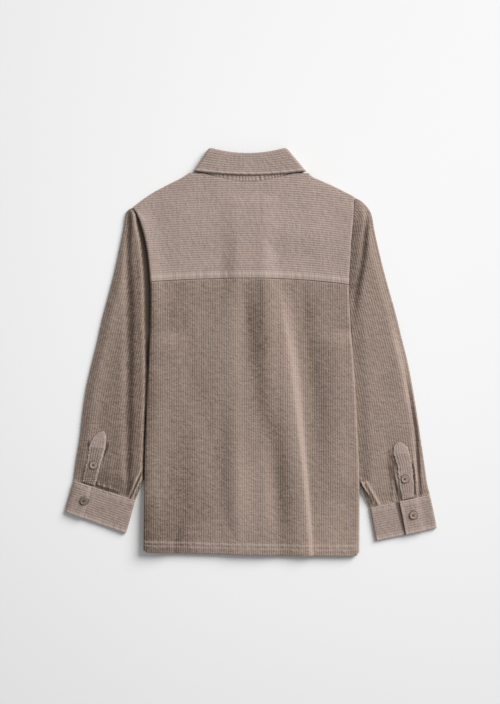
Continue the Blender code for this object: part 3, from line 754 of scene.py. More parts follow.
def add_front(name, side, node):
    def under(x, y):
        return rise(x, y) + (lapped(x, y, 34) if side > 0 else 0.0) + CLOTH

    def face(x, y):
        edge = np.minimum(side * (x - front_neck_x(side, y)), y - hem_line(x))
        return under(x, y) - CLOTH * turned(np.maximum(edge, 0), 2.0)

    end = body_ends(front_line, len(front_shares))[0 if side < 0 else 1]
    roll_out, roll_in = body_side(side, end, front_line, under, face, False)
    neck = front_neck_x(side, front_line(np.zeros_like(end)))
    x = mix(end - side * ROLL_IN, neck, side_steps)
    y = front_line(x)
    outer = np.concatenate([roll_out, grid_of(x, y, face(x, y))], axis=1)
    lining = grid_of(x, y, under(x, y))
    inner = np.concatenate([roll_in, lining[:, ::2], lining[:, -1:]], axis=1)[::2]
    cloth = grid_of(outer[..., 0] / WALE, outer[..., 1], 0.0)
    piece = add_wall(name, outer, inner, cloth, body_cord)
    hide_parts(node)


add_front("front_panel_left", -1, "front_left")
add_front("front_panel_right", 1, "front_right")


def add_band(name, middle, normal, half, cloth, relief, material, plain_rows=7):
    """A closed band of cloth laid along points middle[row, column], half as thick each way."""
    outer = middle + normal * (half + relief)[..., None]
    outer[..., 2] = np.maximum(outer[..., 2], 0)
    inner = middle - normal * half[..., None]
    return add_wall(name, outer, thinned(inner, plain_rows), cloth, material)


band_y = edge_steps(PLACKET_TOP - PLACKET_LOW, 1.2, 6.0)[:, None]
band_x = edge_steps(2 * PLACKET_HALF, 1.2, 2.0)[None] - PLACKET_HALF
x, y = np.broadcast_arrays(band_x, band_y + PLACKET_LOW)
half = CLOTH / 2 * turned(PLACKET_HALF - np.abs(x), 1.2)
half = half * turned(np.minimum(y - PLACKET_LOW, PLACKET_TOP - y), 1.2)
middle = grid_of(x, y, rise(x, y) + CLOTH / 2)
cloth = grid_of(x / WALE, y, 0.0)
front_placket = add_band("front_placket_band", middle, np.array([0, 0, -1.0]), half, cloth,
                         0 * half, body_cord, 40)
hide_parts("front_placket")

# The sleeves: each is one flattened tube from the armhole seam to the cuff. The wales
# run along the arm, and the cloth stands up in a soft ridge beside the body.

SLEEVE_SWELL = {-1: 4.4, 1: 3.4}
SLEEVE_NOTCH = {-1: 2.9, 1: 0.0}
SLEEVE_ROLL = 2.4
SLEEVE_TALL = 2 * CLOTH + EASE
SLEEVE_RIB = 0.7

Section = namedtuple("Section", "at outer_x outer_y inner_x inner_y")


def sections(*rows):
    return [Section(at, *row) for at, row in enumerate(rows)]


SLEEVES = {
    -1: sections((-182.5, 224, -156, 42), (-191.5, 217.5, -156.4, 37.5),
        (-196.5, 190, -156.6, 31.5), (-203, 159, -156.7, 24.5), (-210.5, 124.5, -156.9, 17.5),
        (-220.5, 86, -156.6, 8), (-230, 50, -152, -6), (-238, 14.5, -145, -20),
        (-246.5, -20, -141, -43), (-254.5, -55.5, -141, -77), (-260, -92.5, -144, -114),
        (-264.5, -131.5, -149, -151.5), (-270, -165.5, -161, -186), (-273, -187, -171, -209),
        (-274.2, -198.2, -178.9, -228.7)),
    1: sections((160.8, 239.5, 155.2, 42), (174, 231.5, 155.8, 37), (186, 214.5, 156.0, 31.5),
        (191.5, 186.5, 156.1, 25), (201.5, 143, 156.3, 17.5), (212.5, 101, 155.8, 7.5),
        (223.5, 62.5, 149, -6), (232.5, 25.5, 143, -21), (242, -12, 141, -46),
        (249.5, -50.5, 142, -80), (256.5, -92.5, 146, -116), (263, -136, 150.5, -151.5),
        (268, -170, 163.5, -188.5), (273, -204, 174.5, -218), (277.3, -220.2, 183.8, -240.4)),
}
LAST = len(SLEEVES[1]) - 1

# How wide the open valley is between the body's edge and each sleeve
VALLEYS = {
    -1: edge_rows((214, 1.5), (203, 4.5), (166, 7.5), (112, 9), (65, 8.6), (11, 6), (-45, 3),
        (-210, 1.5)),
    1: edge_rows((240, 0.5), (-240, 0.5)),
}
VALLEY_SLOPE = {-1: 5.0, 1: 22.0}

# Deep creases, as a share of the swell, and then small folds in millimetres
SLEEVE_CREASES = {
    -1: (
        folds((226, -188, 0.3, 4), (215, -189, 0.9, 4.5), (143, -190, 1.0, 6),
            (73, -187.5, 1.0, 7), (4, -187.5, 1.0, 7), (-58, -188.5, 0.95, 7),
            (-136, -189, 0.9, 7), (-205, -190, 0.7, 5)),),
    1: (
        folds((215, 181, 0.5, 4), (191, 178.4, 1.0, 4.5), (143, 172.9, 1.0, 5),
            (87, 162.9, 1.0, 5), (58, 159.5, 0.5, 4), (30, 158, 0.0, 4)),
        folds((-20, 238, 0.0, 3), (-58, 245, 0.7, 3.2), (-120, 255.5, 1.0, 3.2),
            (-178, 259.5, 1.0, 3), (-217, 263, 0.6, 3)),
        folds((10, 206, 0.0, 14), (-40, 206, 0.28, 15), (-100, 216, 0.1, 15), (-154, 216, 0.3, 10),
            (-190, 218, 0.0, 10))),
}
SLEEVE_WRINKLES = {
    -1: (
        folds((-186, -175, 0.0, 2.6), (-196, -178, 1.5, 2.6), (-227, -189, 1.7, 2.8)),
        folds((-186, -165, 0.0, 2.4), (-196, -171, 1.3, 2.4), (-225, -184, 1.4, 2.6)),
        folds((-140, -214, 0.0, 6), (-175, -216, 0.7, 6), (-215, -222, 0.9, 6)),
        folds((-196, -236, 0.0, 2.2), (-206, -236, 1.5, 2.2), (-212, -237, 1.2, 2.2)),
        folds((-199, -227, 0.0, 2.0), (-209, -228, 1.5, 2.0), (-216, -229, 1.2, 2.0)),
        folds((-203, -217, 0.0, 2.2), (-213, -219, 1.4, 2.2), (-219, -220, 1.2, 2.2))),
    1: (
        folds((-190, 168, 0.0, 2.6), (-199, 170, 1.4, 2.6), (-231, 190, 1.8, 2.8)),
        folds((-196, 176, 0.0, 2.4), (-206, 181, 1.3, 2.4), (-236, 198, 1.5, 2.6)),
        folds((-150, 216, 0.0, 2.6), (-165, 216.5, 1.4, 2.8), (-187, 222, 1.8, 2.8),
            (-210, 228, 1.2, 2.8)),
        folds((-165, 214, 0.0, 2.2), (-180, 217, 1.2, 2.4), (-213, 221, 1.0, 2.4)),
        folds((-160, 251, 0.0, 2.0), (-176, 252.5, 1.2, 2.2), (-218, 256.5, 1.2, 2.2))),
}

# Fine painted light and dark lines where those small folds catch or lose the light
SLEEVE_LINES = {
    -1: (
        folds((-176, -168, 0.0, 1.6), (-186, -172, 0.5, 1.6), (-227, -190, 0.5, 1.8)),
        folds((-190, -168, 0.0, 1.6), (-200, -172.5, 0.5, 1.6), (-229, -185, 0.5, 1.8)),
        folds((-180, -167, 0.0, 1.8), (-192, -171.5, -0.6, 1.8), (-228, -187.5, -0.6, 1.8)),
        folds((-198, -238, 0.0, 9), (-206, -238, -0.25, 9), (-212, -238, 0.0, 9)),
        folds((-204, -218, 0.0, 9), (-212, -218, -0.25, 9), (-218, -218, 0.0, 9)),
        folds((-136, -221, 0.0, 1.5), (-146, -222, -0.5, 1.6), (-158, -226, -0.5, 1.6),
            (-168, -229, 0.0, 1.5)),
        folds((-133, -249, 0.0, 1.4), (-142, -251, -0.8, 1.7), (-151, -249, 0.0, 1.4))),
    1: (
        folds((-148, 213, 0.0, 1.8), (-160, 216.5, -0.6, 2.2), (-201, 223.5, -0.8, 2.6),
            (-222, 229, -0.7, 2.4)),
        folds((-163, 246, 0.0, 1.8), (-175, 250, -0.5, 2.0), (-212, 253.5, -0.45, 2.0),
            (-224, 255, -0.2, 1.8)),
        folds((-192, 164, 0.0, 2.2), (-204, 169.5, -0.6, 2.4), (-231, 192, -0.5, 2.2)),
        folds((-200, 184, 0.0, 1.8), (-212, 189, 0.35, 1.8), (-235, 200.5, 0.35, 1.8))),
}


def cuff_seam(side, x):
    last = SLEEVES[side][-1]
    slope = (last.inner_y - last.outer_y) / (last.inner_x - last.outer_x)
    return last.outer_y + slope * (x - last.outer_x)


def sleeve_swell(side, x, y):
    """Height of the sleeve's upper wall over its flattest, by its place in plan."""
    table = SLEEVES[side]
    outer = side * (curve(table, "outer_y", "outer_x", y) - x)
    inner = np.where(y > -200, side * (x - edge_x(side, y)), 30.0)
    valley = curve(VALLEYS[side], "y", "x", y)
    left = 1.0
    for crease in SLEEVE_CREASES[side]:
        left = left * (1 - fold_height(crease, x, y))
    above_cuff = y - cuff_seam(side, x)
    body = ease(outer, 0, 16) * ease(above_cuff, 0, 36)
    swell = SLEEVE_SWELL[side] * body * ease(inner, valley, valley + VALLEY_SLOPE[side]) * left
    notch = SLEEVE_NOTCH[side] * ease(inner, valley + 1.5, valley - 1) * ease(outer, 4, 12)
    notch = notch * ease(y, -206, -190)
    small = sum(fold_height(wrinkle, x, y) for wrinkle in SLEEVE_WRINKLES[side])
    small = small * mix(0.4, 1, ease(above_cuff, 0, 6)) * ease(outer, 0, 10)
    return swell - notch + small + slack(x + 40, y) * body * 0.9


def sleeve_plan(side, at, share):
    """Plan position on the sleeve's sections. The first one follows the armhole seam."""
    table = SLEEVES[side]
    x = mix(curve(table, "at", "outer_x", at), curve(table, "at", "inner_x", at), share)
    y = mix(curve(table, "at", "outer_y", at), curve(table, "at", "inner_y", at), share)
    first = table[0]
    seam_y = mix(first.outer_y, first.inner_y, share)
    bow = edge_x(side, seam_y) + side * 0.7 - mix(first.outer_x, first.inner_x, share)
    return x + bow * np.clip(1 - at / 5, 0, 1) ** 1.5, y


def from_outer_edge(side, x, y):
    """Distance from the sleeve's outer edge, which the wales run along."""
    at = np.linspace(0.7, LAST, 170)
    table = SLEEVES[side]
    line = np.stack([curve(table, "at", "outer_x", at), curve(table, "at", "outer_y", at)], axis=1)
    spots = np.stack([x.ravel(), y.ravel()], axis=1)
    best = np.full(len(spots), 1e9)
    for start, end in zip(line, line[1:]):
        way = end - start
        share = np.clip((spots - start) @ way / (way @ way), 0, 1)
        gap = spots - start - share[:, None] * way
        best = np.minimum(best, (gap ** 2).sum(axis=1))
    return np.sqrt(best).reshape(x.shape)


def sleeve_top(side, x, y):
    return SLEEVE_TALL + sleeve_swell(side, x, y)


def left_shade(slope_shade, x, y, inset, from_body):
    """Painted shade on the left sleeve, darkest in its valley, its crease and the gathers over the
    cuff, and painted light by its slopes.
    """
    valley = curve(VALLEYS[-1], "y", "x", y)
    shade = 0.6 * slope_shade - 0.04 - 0.14 * ease(inset, 20, 36)
    shade = shade - 0.1 * bell(from_body - valley - 6, 6)
    shade = shade - 0.55 * ease(from_body, valley + 3, valley - 0.5) * ease(y, -206, -180)
    shade = shade - 0.18 * fold_height(SLEEVE_CREASES[-1][0], x, y)
    gathers = ease(x, -241, -234) * ease(x, -200, -210) * (0.75 + 0.25 * np.sin(x * 1.3))
    above_cuff = y - cuff_seam(-1, x)
    return shade + gathers * (0.45 * bell(above_cuff - 7, 1.8) - 0.8 * bell(above_cuff - 3, 2.2))


def right_shade(slope_shade, x, y, inset, from_body):
    """Painted light and shade on the right sleeve: dark beside the body and in its creases, and
    light farther out.
    """
    shade = slope_shade * mix(1, 0.4, ease(y, -150, -110)) + 0.22 * ease(y, 190, 222) + 0.03
    shade = shade - 0.28 * bell(from_body, 14) * ease(y, 70, 120)
    shade = shade - 0.34 * fold_height(SLEEVE_CREASES[1][0], x, y)
    shade = shade - 0.6 * fold_height(SLEEVE_CREASES[1][1], x, y)
    return shade + 0.4 * bell(inset - 10, 5) * ease(y, 60, 0) * ease(y, -110, -60)


def add_sleeve(name, side, node):
    at = np.concatenate([np.linspace(0, 5, 84), np.linspace(5, LAST, 150)[1:-4],
                         LAST + np.array([-0.12, -0.04, 0.0, 0.03])])[:, None]
    wide = np.hypot(*(curve(SLEEVES[side], "at", "outer_" + axis, at)
                      - curve(SLEEVES[side], "at", "inner_" + axis, at) for axis in "xy"))
    turns = np.radians([0.0, 20.0, 40.0, 60.0])
    middle = SLEEVE_TALL / 2
    end = np.clip((LAST - at) * 12 + 1.0, 0.6, 1)
    columns = []

    def put(inset, height, ribbed=0.0):
        x, y = sleeve_plan(side, at, inset / wide)
        z = height(x, y) if callable(height) else height
        columns.append((x, y, z + 0 * x, ribbed + 0 * x))

    def rolled(turn):
        return SLEEVE_ROLL * (1 - math.cos(turn))

    def over_roll(x, y):
        return middle + (sleeve_top(side, x, y) - middle) * math.sin(turn)

    for turn in turns:
        put(rolled(turn), over_roll)
    for share in np.linspace(0, 1, 172):
        put(mix(SLEEVE_ROLL, wide - SLEEVE_ROLL, share), lambda x, y: sleeve_top(side, x, y),
            float(0 < share < 1))
    for turn in turns[::-1]:
        put(wide - rolled(turn), over_roll)
    for turn in turns[1:]:
        put(wide - rolled(turn), middle - middle * math.sin(turn))
    for share in np.linspace(1, 0, 12):
        put(mix(SLEEVE_ROLL, wide - SLEEVE_ROLL, share), 0.0)
    for turn in turns[:0:-1]:
        put(rolled(turn), middle - middle * math.sin(turn))
    x, y, z, ribbed = (np.concatenate(part, axis=1) for part in zip(*columns))
    inset = from_outer_edge(side, x, y)
    across, along = inset / WALE, -y
    from_body = side * (x - edge_x(side, y))
    ribs = SLEEVE_RIB * WALE_RISE * wale(across, along) * ribbed * ease(from_body, 1.0, 3.0)
    outer = grid_of(x, y, middle + (z - middle + ribs) * end)
    columns.clear()
    upper = np.concatenate([[0.0], np.linspace(0.015, 0.985, 22), [1.0]])
    for share in upper:
        put(mix(CLOTH, wide - CLOTH, share),
            lambda x, y: np.maximum(sleeve_top(side, x, y) - CLOTH, 1.4))
    for share in upper[-2:0:-1]:
        put(mix(CLOTH, wide - CLOTH, share), 1.0)
    inner = grid_of(*(np.concatenate(part, axis=1) for part in list(zip(*columns))[:3]))
    # Painted light and shade by the sleeve's slopes
    slope_shade = painted_slope_shade(lambda x, y: sleeve_swell(side, x, y), x, y) * ribbed
    shade = (left_shade if side < 0 else right_shade)(slope_shade, x, y, inset, from_body)
    lines = sum(fold_height(table, x, y) for table in SLEEVE_LINES[side])
    # The sleeve's end is painted lighter, over the shade where it meets the cuff
    cloth = grid_of(across, along, shade + lines + 0.3 * ease(at, LAST - 0.25, LAST))
    sleeve = add_wall(name, outer, thinned(inner, 44), cloth, sleeve_cord,
                      ring=True)
    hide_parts(node)


sleeve_cord = corduroy("corduroy along the arm", CROWN, GROOVE, 0.2, 1.0)
add_sleeve("sleeve_tube_left", -1, "sleeve_left")
add_sleeve("sleeve_tube_right", 1, "sleeve_right")

# The sleeve plackets: a narrow folded strip of the same cloth, stitched round over the
# slit above each cuff. The left one ends in a point, and the right one is rounded.

Pair = namedtuple("Pair", "at left_x left_y right_x right_y")
SLEEVE_PLACKETS = {
    -1: (Pair(0, -260.5, -200.5, -241.5, -206.5), Pair(1, -257, -184, -236.8, -190),
         Pair(2, -252, -162, -229.5, -164.5), Pair(3, -249.5, -146, -225.0, -147.5),
         Pair(3.4, -247.5, -139.5, -223.3, -134.5), Pair(3.75, -242, -130, -223.8, -127),
         Pair(4, -235.5, -124, -227.0, -121.5)),
    1: (Pair(0, 234.5, -228.5, 252, -224.5), Pair(1, 228, -195, 250.5, -191.5),
        Pair(2, 225.5, -173, 248, -170), Pair(3, 220, -156, 244.5, -156),
        Pair(3.4, 220.5, -145.5, 241.5, -146), Pair(4, 226, -139, 233, -139)),
}
STRIP = 1.7
STRIP_WIDE = 22.0
STITCH_IN = 2.6
BAR_TACKS = (3.0, 3.12)
BUTTON_PLACES = {
    "placket_button_left": (-242.9, -173.9), "cuff_button_left": (-257.9, -229.6),
    "placket_button_right": (237.8, -195.6), "cuff_button_right": (250.9, -251.6),
}


def placket_plan(side, at, share):
    table = SLEEVE_PLACKETS[side]
    left_x, right_x, left_y, right_y = (
        np.interp(at, [row.at for row in table], [getattr(row, column) for row in table])
        for column in ("left_x", "right_x", "left_y", "right_y"))
    wave = 0.7 * np.sin(at * 13 + 2 * np.sin(at * 5)) * ease(at, 3.4, 3.0)
    return mix(left_x, right_x, share) + wave * (2 * share - 1), mix(left_y, right_y, share)


def placket_base(side, x, y):
    return sleeve_top(side, x, y) + SLEEVE_RIB * WALE_RISE + SEAM


def button_contact_shadow(name, x, y):
    """A painted contact shadow: the cloth is darker in a thin ring round a button."""
    place = BUTTON_PLACES[name]
    return -0.7 * bell(np.hypot(x - place[0], y - place[1]) - 6.2, 0.9)


def add_sleeve_placket(name, side, node):
    word = name.split("_")[-1]
    at = np.concatenate([[0, 0.03, 0.08], np.linspace(0.15, 3.85, 110), [3.92, 3.97, 4.0]])[:, None]
    share = edge_steps(1.0, 1.3 / STRIP_WIDE, 0.7 / STRIP_WIDE)[None]
    x, y = placket_plan(side, at, share)
    across = share * STRIP_WIDE / WALE
    edge = np.minimum(share, 1 - share) * STRIP_WIDE
    end = np.minimum(at, 4 - at) * 20
    pucker = 0.25 * np.sin(y / 1.7 + 2 * np.sin(y / 9)) * bell(edge - 1.5, 2.0)
    half = STRIP / 2 * turned(edge, 1.3) * turned(end, 1.4)
    relief = 0.5 * wale(across, y) * turned(end, 2) - 0.5 * bell(edge - STITCH_IN, 0.8) + pucker
    middle = grid_of(x, y, placket_base(side, x, y) + STRIP / 2)
    # The strip is lighter along its folded edges, at its top and over the bar tacks, and the left
    # strip's right edge, which faces the lamp, has a painted highlight
    wear_and_painted_light = (-0.36 if side < 0 else -0.10) + 0.45 * bell(edge, 1.9) + 0.3 * ease(at, 3.0, 3.3)
    if side < 0:
        wear_and_painted_light = wear_and_painted_light + 0.5 * bell((1 - share) * STRIP_WIDE, 1.8)
        wear_and_painted_light = wear_and_painted_light + 0.2 * np.sin(y * 1.8) * ease(at, 0.9, 0.5)
    wear_and_painted_light = wear_and_painted_light + 0.35 * bell(at - sum(BAR_TACKS) / 2, 0.07)
    cloth = grid_of(across, y, wear_and_painted_light + button_contact_shadow("placket_button_" + word, x, y))
    strip = add_band(name, middle, np.array([0, 0, 1.0]), half, cloth, relief, trim_cord)
    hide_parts(node)


add_sleeve_placket("placket_strip_left", -1, "sleeve_placket_left")
add_sleeve_placket("placket_strip_right", 1, "sleeve_placket_right")

# The cuffs: a doubled band of corduroy round each wrist with its wales level. The
# buttoned end laps over the other, and all its edges are turned in and stitched.

Cuff = namedtuple("Cuff", "outer_top inner_top inner_bottom outer_bottom lap_end lap")
CUFFS = {
    -1: Cuff((-274.2, -198.4), (-178.9, -228.9), (-193.1, -280.1), (-288.1, -246.0), 30.0, 20.0),
    1: Cuff((277.3, -220.4), (183.8, -240.6), (193.3, -291.7), (288.0, -271.8), 49.0, 20.0),
}
CUFF_TALL = 50.0
CUFF_STITCH_IN = 4.2


def cuff_plan(cuff, along, share):
    at = along / math.dist(cuff.outer_top, cuff.inner_top)
    top = [mix(a, b, at) for a, b in zip(cuff.outer_top, cuff.inner_top)]
    bottom = [mix(a, b, at) for a, b in zip(cuff.outer_bottom, cuff.inner_bottom)]
    return mix(bottom[0], top[0], share), mix(bottom[1], top[1], share)


def cuff_route(cuff):
    """The band's way round the wrist: outer face, inner face and how far each spot is ribbed."""
    wide = math.dist(cuff.outer_top, cuff.inner_top)
    low, lift = BAND + EASE, BAND + SEAM
    under_start = cuff.lap_end - cuff.lap
    outer, inner = [], []

    def level(along):
        return low + lift * float(ease(along, under_start - 14, under_start - 1))

    radius = (low + BAND) / 2
    tight = radius - BAND
    for along in edge_steps(wide - radius - under_start, 1.2, 1.3)[:-3] + under_start:
        outer.append((along, low + BAND, ease(along, cuff.lap_end - 9, cuff.lap_end - 5)))
        inner.append((along, low, 0))
    for turn in np.radians(np.linspace(80, -80, 9)):
        outer.append((wide - radius * (1 - math.cos(turn)), radius * (1 + math.sin(turn)), 0.6))
        inner.append((wide - radius + tight * math.cos(turn), radius + tight * math.sin(turn), 0))
    for along in np.linspace(wide - radius - 1.5, radius + 2.5, 16):
        outer.append((along, 0.0, 0))
        inner.append((along, BAND, 0))
    radius = (level(0.0) + BAND) / 2
    tight = radius - BAND
    for turn in np.radians(np.linspace(-80, 80, 9)):
        outer.append((radius * (1 - math.cos(turn)), radius * (1 + math.sin(turn)), 0.6))
        inner.append((radius - tight * math.cos(turn), radius + tight * math.sin(turn), 0))
    for along in edge_steps(cuff.lap_end - radius, 1.2, 1.6)[3:] + radius:
        outer.append((along, level(along) + BAND, 1))
        inner.append((along, level(along), 0))
    return np.array(outer, float), np.array(inner, float)


def way_along(line):
    """Length along a line of points, at each of them."""
    return np.concatenate([[0.0], np.cumsum(np.linalg.norm(np.diff(line, axis=0), axis=1))])


def band_rows(tall, pitch, wales):
    """Rows down a band: near its two edges, at a pitch and over each of its wales."""
    rows = np.sort(np.concatenate([edge_steps(tall, 1.5, pitch), wales]))
    rows = rows[np.concatenate([[True], np.diff(rows) > 0.05])]
    return rows[rows <= tall][:, None]


def add_cuff(name, side, node):
    cuff = CUFFS[side]
    outer, inner = cuff_route(cuff)
    thick = np.hypot(*(outer - inner)[:, :2].T)
    way = (outer - inner)[:, :2] / thick[:, None]
    route = (outer + inner)[:, :2] / 2
    gone = way_along(route)[None]
    ends = np.minimum(gone, gone[0, -1] - gone)
    down = band_rows(CUFF_TALL, 5.0, wale_places(0, 14) + 0.6)
    share = down / CUFF_TALL
    x, y = cuff_plan(cuff, route[None, :, 0], share)
    sag = 0.25 * np.sin(gone / 11.0 + 2 * share) * outer[None, :, 2]
    edge = np.minimum(down, CUFF_TALL - down)
    half = thick[None] / 2 * turned(down, 0.7) * turned(CUFF_TALL - down, 1.5) * turned(ends, 1.4)
    inset = np.minimum(edge, ends)
    stitch = 0.5 * bell(inset - CUFF_STITCH_IN, 0.9)
    pucker = 0.22 * np.sin(gone / 1.6) * bell(edge - 3, 2.5)
    wales = 0.5 + np.maximum(down / WALE - 2, 0)
    relief = 0.5 * WALE_RISE * wale(wales, gone) + pucker - stitch
    relief = relief * outer[None, :, 2] * turned(inset, 1.5)
    top = route[:, 1] > BAND + EASE
    over_it = gone[0] > gone[0, -1] / 2
    lap = top * over_it * bell(cuff.lap_end - route[:, 0] - 3, 2.6, 4)
    # Painted shadow in the slit beside the lapping end
    slit = ease(route[None, :, 0], cuff.lap_end + 5 + 3 * share, cuff.lap_end + 1)
    slit = slit * top * ~over_it * (0.6 + share)
    # Painted contact shadow round the button
    ring = button_contact_shadow(node.replace("cuff", "cuff_button"), x, y) * top
    wear_and_painted_light = 0.2 * bell(edge - 3, 3.5, 4) + 0.25 * lap + ring
    wear_and_painted_light = wear_and_painted_light - (1.3 * slit + 0.12 if side > 0 else 0.18)
    plan = np.subtract(cuff.inner_top, cuff.outer_top) / math.dist(cuff.outer_top, cuff.inner_top)
    normal = np.stack([way[:, 0] * plan[0], way[:, 0] * plan[1], way[:, 1]], axis=1)[None]
    middle = grid_of(x, y, route[None, :, 1] + sag)
    cloth = grid_of(wales, gone, wear_and_painted_light)
    band = add_band(name, middle, normal, half, cloth, relief, trim_cord, 5)
    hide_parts(node)


add_cuff("cuff_band_left", -1, "cuff_left")
add_cuff("cuff_band_right", 1, "cuff_right")

# The collar: a leaf folded down over a stand. The stand joins the neck seam, and its
# puckered lower strip shows under the middle of the leaf.

LEAF_FOLD = (Line(-65.5, 315.4), Line(56, 315.4))
LEAF_EDGE = (Line(-89, 279.5), Line(86, 279.5))
LEAF_FOLD_DIP = 7.5
LEAF_EDGE_DIP = 5.6
LEAF_TOP = 10.9
LEAF_TALL = 36.0
LEAF_STITCH_IN = 5.0
STAND_TALL = 40.0


def band_round(tops, lows, dips, top, bottom, thick, top_end, low_end):
    """Stations of a band round the neck: points of its two edges and its outward direction.

    It lies on top at the back of the neck. Both its ends bend round and run below to the front.
    """
    upper, lower = top - thick / 2, bottom + thick / 2
    centre, radius = (upper + lower) / 2, (upper - lower) / 2
    inset = radius + thick / 2
    stations = []

    def front(side, share):
        spots = []
        for start, end in ((tops[side > 0], top_end), (lows[side > 0], low_end)):
            x = mix(start.x - side * inset, BACK_NECK.x + side * end.x, share)
            spots.append((x, mix(start.y, end.y, share), lower))
        stations.append((*spots, (0, 0, -1)))

    def bend(side, turn):
        out = np.array([side * math.sin(turn), 0, math.cos(turn)])
        stations.append([np.array([end[side > 0].x - side * inset, end[side > 0].y, centre])
                         + out * radius for end in (tops, lows)] + [out])

    for share in np.linspace(1, 0, 14)[:-1]:
        front(-1, share)
    for turn in np.radians(np.linspace(180, 12, 12)):
        bend(-1, turn)
    for share in np.linspace(0, 1, 150):
        sag = 1 - (2 * share - 1) ** 2
        shift = inset * (1 - 2 * share)
        stations.append((*((mix(start.x, end.x, share) + shift, start.y - dip * sag, upper)
                           for (start, end), dip in zip((tops, lows), dips)), (0, 0, 1)))
    for turn in np.radians(np.linspace(12, 180, 12)):
        bend(1, turn)
    for share in np.linspace(0, 1, 14)[1:]:
        front(1, share)
    return [np.array([station[part] for station in stations], float)[None] for part in range(3)]


def add_neck_band(name, parts, tall, thick, rolls, relief_of, wear_and_light_of, node):
    fold, edge, out = parts
    down = band_rows(tall, 9.0, wale_places(1, round(tall / WALE)))
    middle = mix(fold, edge, (down / tall)[..., None])
    gone = way_along(middle[len(middle) // 2])[None]
    ends = np.minimum(gone, gone[0, -1] - gone)
    half = thick / 2 * turned(down, rolls[0]) * turned(tall - down, rolls[1]) * turned(ends, 1.4)
    relief = relief_of(down, gone) * np.clip(out[..., 2], 0, 1) * turned(tall - down, 1.5)
    cloth = grid_of(down / WALE, gone, wear_and_light_of(down, gone))
    band = add_band(name, middle, out, half, cloth, relief, trim_cord, 6)
    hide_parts(node)
    return middle, out, half, relief


def leaf_relief(down, gone):
    from_edge = LEAF_TALL - down
    stitch = 0.5 * bell(from_edge - LEAF_STITCH_IN, 0.9)
    pucker = 0.2 * np.sin(gone / 1.7) * bell(from_edge - 3, 2.5)
    swell = 0.5 * bell(from_edge - 2, 2.5) + 0.3 * np.sin(gone / 17.0) * down / LEAF_TALL
    return 0.8 * WALE_RISE * wale(down / WALE, gone) + pucker + swell - stitch


def bead(gone):
    """The stand's seam is drawn up into small beads of unequal length."""
    drawn_up = np.sin(gone * 2 * np.pi / 5.2 + 2.2 * np.sin(gone / 7.3))
    return drawn_up * (0.75 + 0.25 * np.sin(gone / 4.1))


def stand_relief(down, gone):
    return 0.6 * bead(gone) * bell(down - 36, 5)


def leaf_wear(down, gone):
    return 0.12 * bell(LEAF_TALL - down - 3, 3) - 0.08


# Painted light on each bead of the stand's seam and painted shade between them
def stand_bead_shade(down, gone):
    return (0.26 * bead(gone) - 0.06) * bell(down - 37, 5)


leaf_parts = band_round(LEAF_FOLD, LEAF_EDGE, (LEAF_FOLD_DIP, LEAF_EDGE_DIP), LEAF_TOP, 0.0, BAND,
                        Line(7.0, 258), Line(46, 203))
leaf = add_neck_band("collar_leaf", leaf_parts, LEAF_TALL, BAND, (3.0, 1.4), leaf_relief, leaf_wear,
                     "collar")
stand_fold = (Line(LEAF_FOLD[0].x + 3.5, 312.5), Line(LEAF_FOLD[1].x - 3.5, 312.5))
stand_seam = (Line(BACK_NECK.x - NECK_HALF + 1, NECK_SIDE),
              Line(BACK_NECK.x + NECK_HALF - 1, NECK_SIDE))
stand_parts = band_round(stand_fold, stand_seam, (6.5, stand_seam[0].y - BACK_NECK.y + 2.0),
                         LEAF_TOP - BAND - SEAM, BUTTON_LIFT, STAND, Line(1.2, 262), Line(1.2, 233))
add_neck_band("collar_stand_band", stand_parts, STAND_TALL, STAND, (1.2, 1.2), stand_relief,
              stand_bead_shade, "collar_stand")

# The stitching: one thick cotton thread, a little lighter than the cloth, in two rows
# along the hem and the yoke, and in one round the plackets, the cuffs and the collar.

STITCH = 2.6
STITCH_GAP = 1.1
THREAD = 0.62


def thread_material():
    material, shader, start = new_material("cotton thread", 0.7)
    colour_by(object_noise(start, 900.0, 2.0), shader,
              (0.3, (0.42, 0.345, 0.295)), (0.7, (0.56, 0.475, 0.42)))
    set_shader(shader, Sheen_Weight=0.2)
    return material


thread = thread_material()


def stitch_spots(line):
    """Ends of each stitch along a line of points (n, 3)."""
    steps = way_along(line)
    starts = np.arange(0, steps[-1] - STITCH, STITCH + STITCH_GAP)
    return [np.stack([np.interp(at, steps, line[:, axis]) for axis in range(3)], axis=1)
            for at in (starts, starts + STITCH)]


def add_stitching(name, lines):
    bm = bmesh.new()
    for line in lines:
        for start, end in zip(*stitch_spots(line)):
            start, end = Vector(start), Vector(end)
            turn = (end - start).to_track_quat("Z", "X").to_matrix().to_4x4()
            size = Matrix.Diagonal((THREAD / 2, THREAD / 2, (end - start).length / 2, 1 / MM))
            spot = Matrix.Translation((start + end) / 2 * MM) @ turn @ (size * MM)
            bmesh.ops.create_uvsphere(bm, u_segments=6, v_segments=4, radius=1.0, matrix=spot)
    return finish_piece(name, bm, thread)


def over(face, x, y, lift):
    return np.stack([x, y, face(x, y) + lift + THREAD / 4], axis=1)


x = np.linspace(-163, 164.5, 500)
add_stitching("hem_stitching", [over(back_top, x, hem_line(x) + row, 0.45) for row in HEM_ROWS])
x = np.linspace(-154, 151, 500)
add_stitching("yoke_stitching", [over(yoke_top, x, yoke_seam(x) + SEAM + row, 0.4)
                                 for row in YOKE_ROWS])


def placket_runs(side):
    """Up one edge of a sleeve placket, round its point and down the other, then across."""
    def strip_face(x, y):
        return placket_base(side, x, y) + STRIP

    at, inset = np.linspace(0.1, 3.75, 60), STITCH_IN / STRIP_WIDE
    up, down = placket_plan(side, at, inset), placket_plan(side, at[::-1], 1 - inset)
    round_it = np.concatenate([up, down], axis=1)
    tacks = [placket_plan(side, np.full(20, at), np.linspace(0.1, 0.9, 20)) for at in BAR_TACKS]
    return [over(strip_face, *round_it, 0.1)] + [over(strip_face, *tack, 0.45) for tack in tacks]


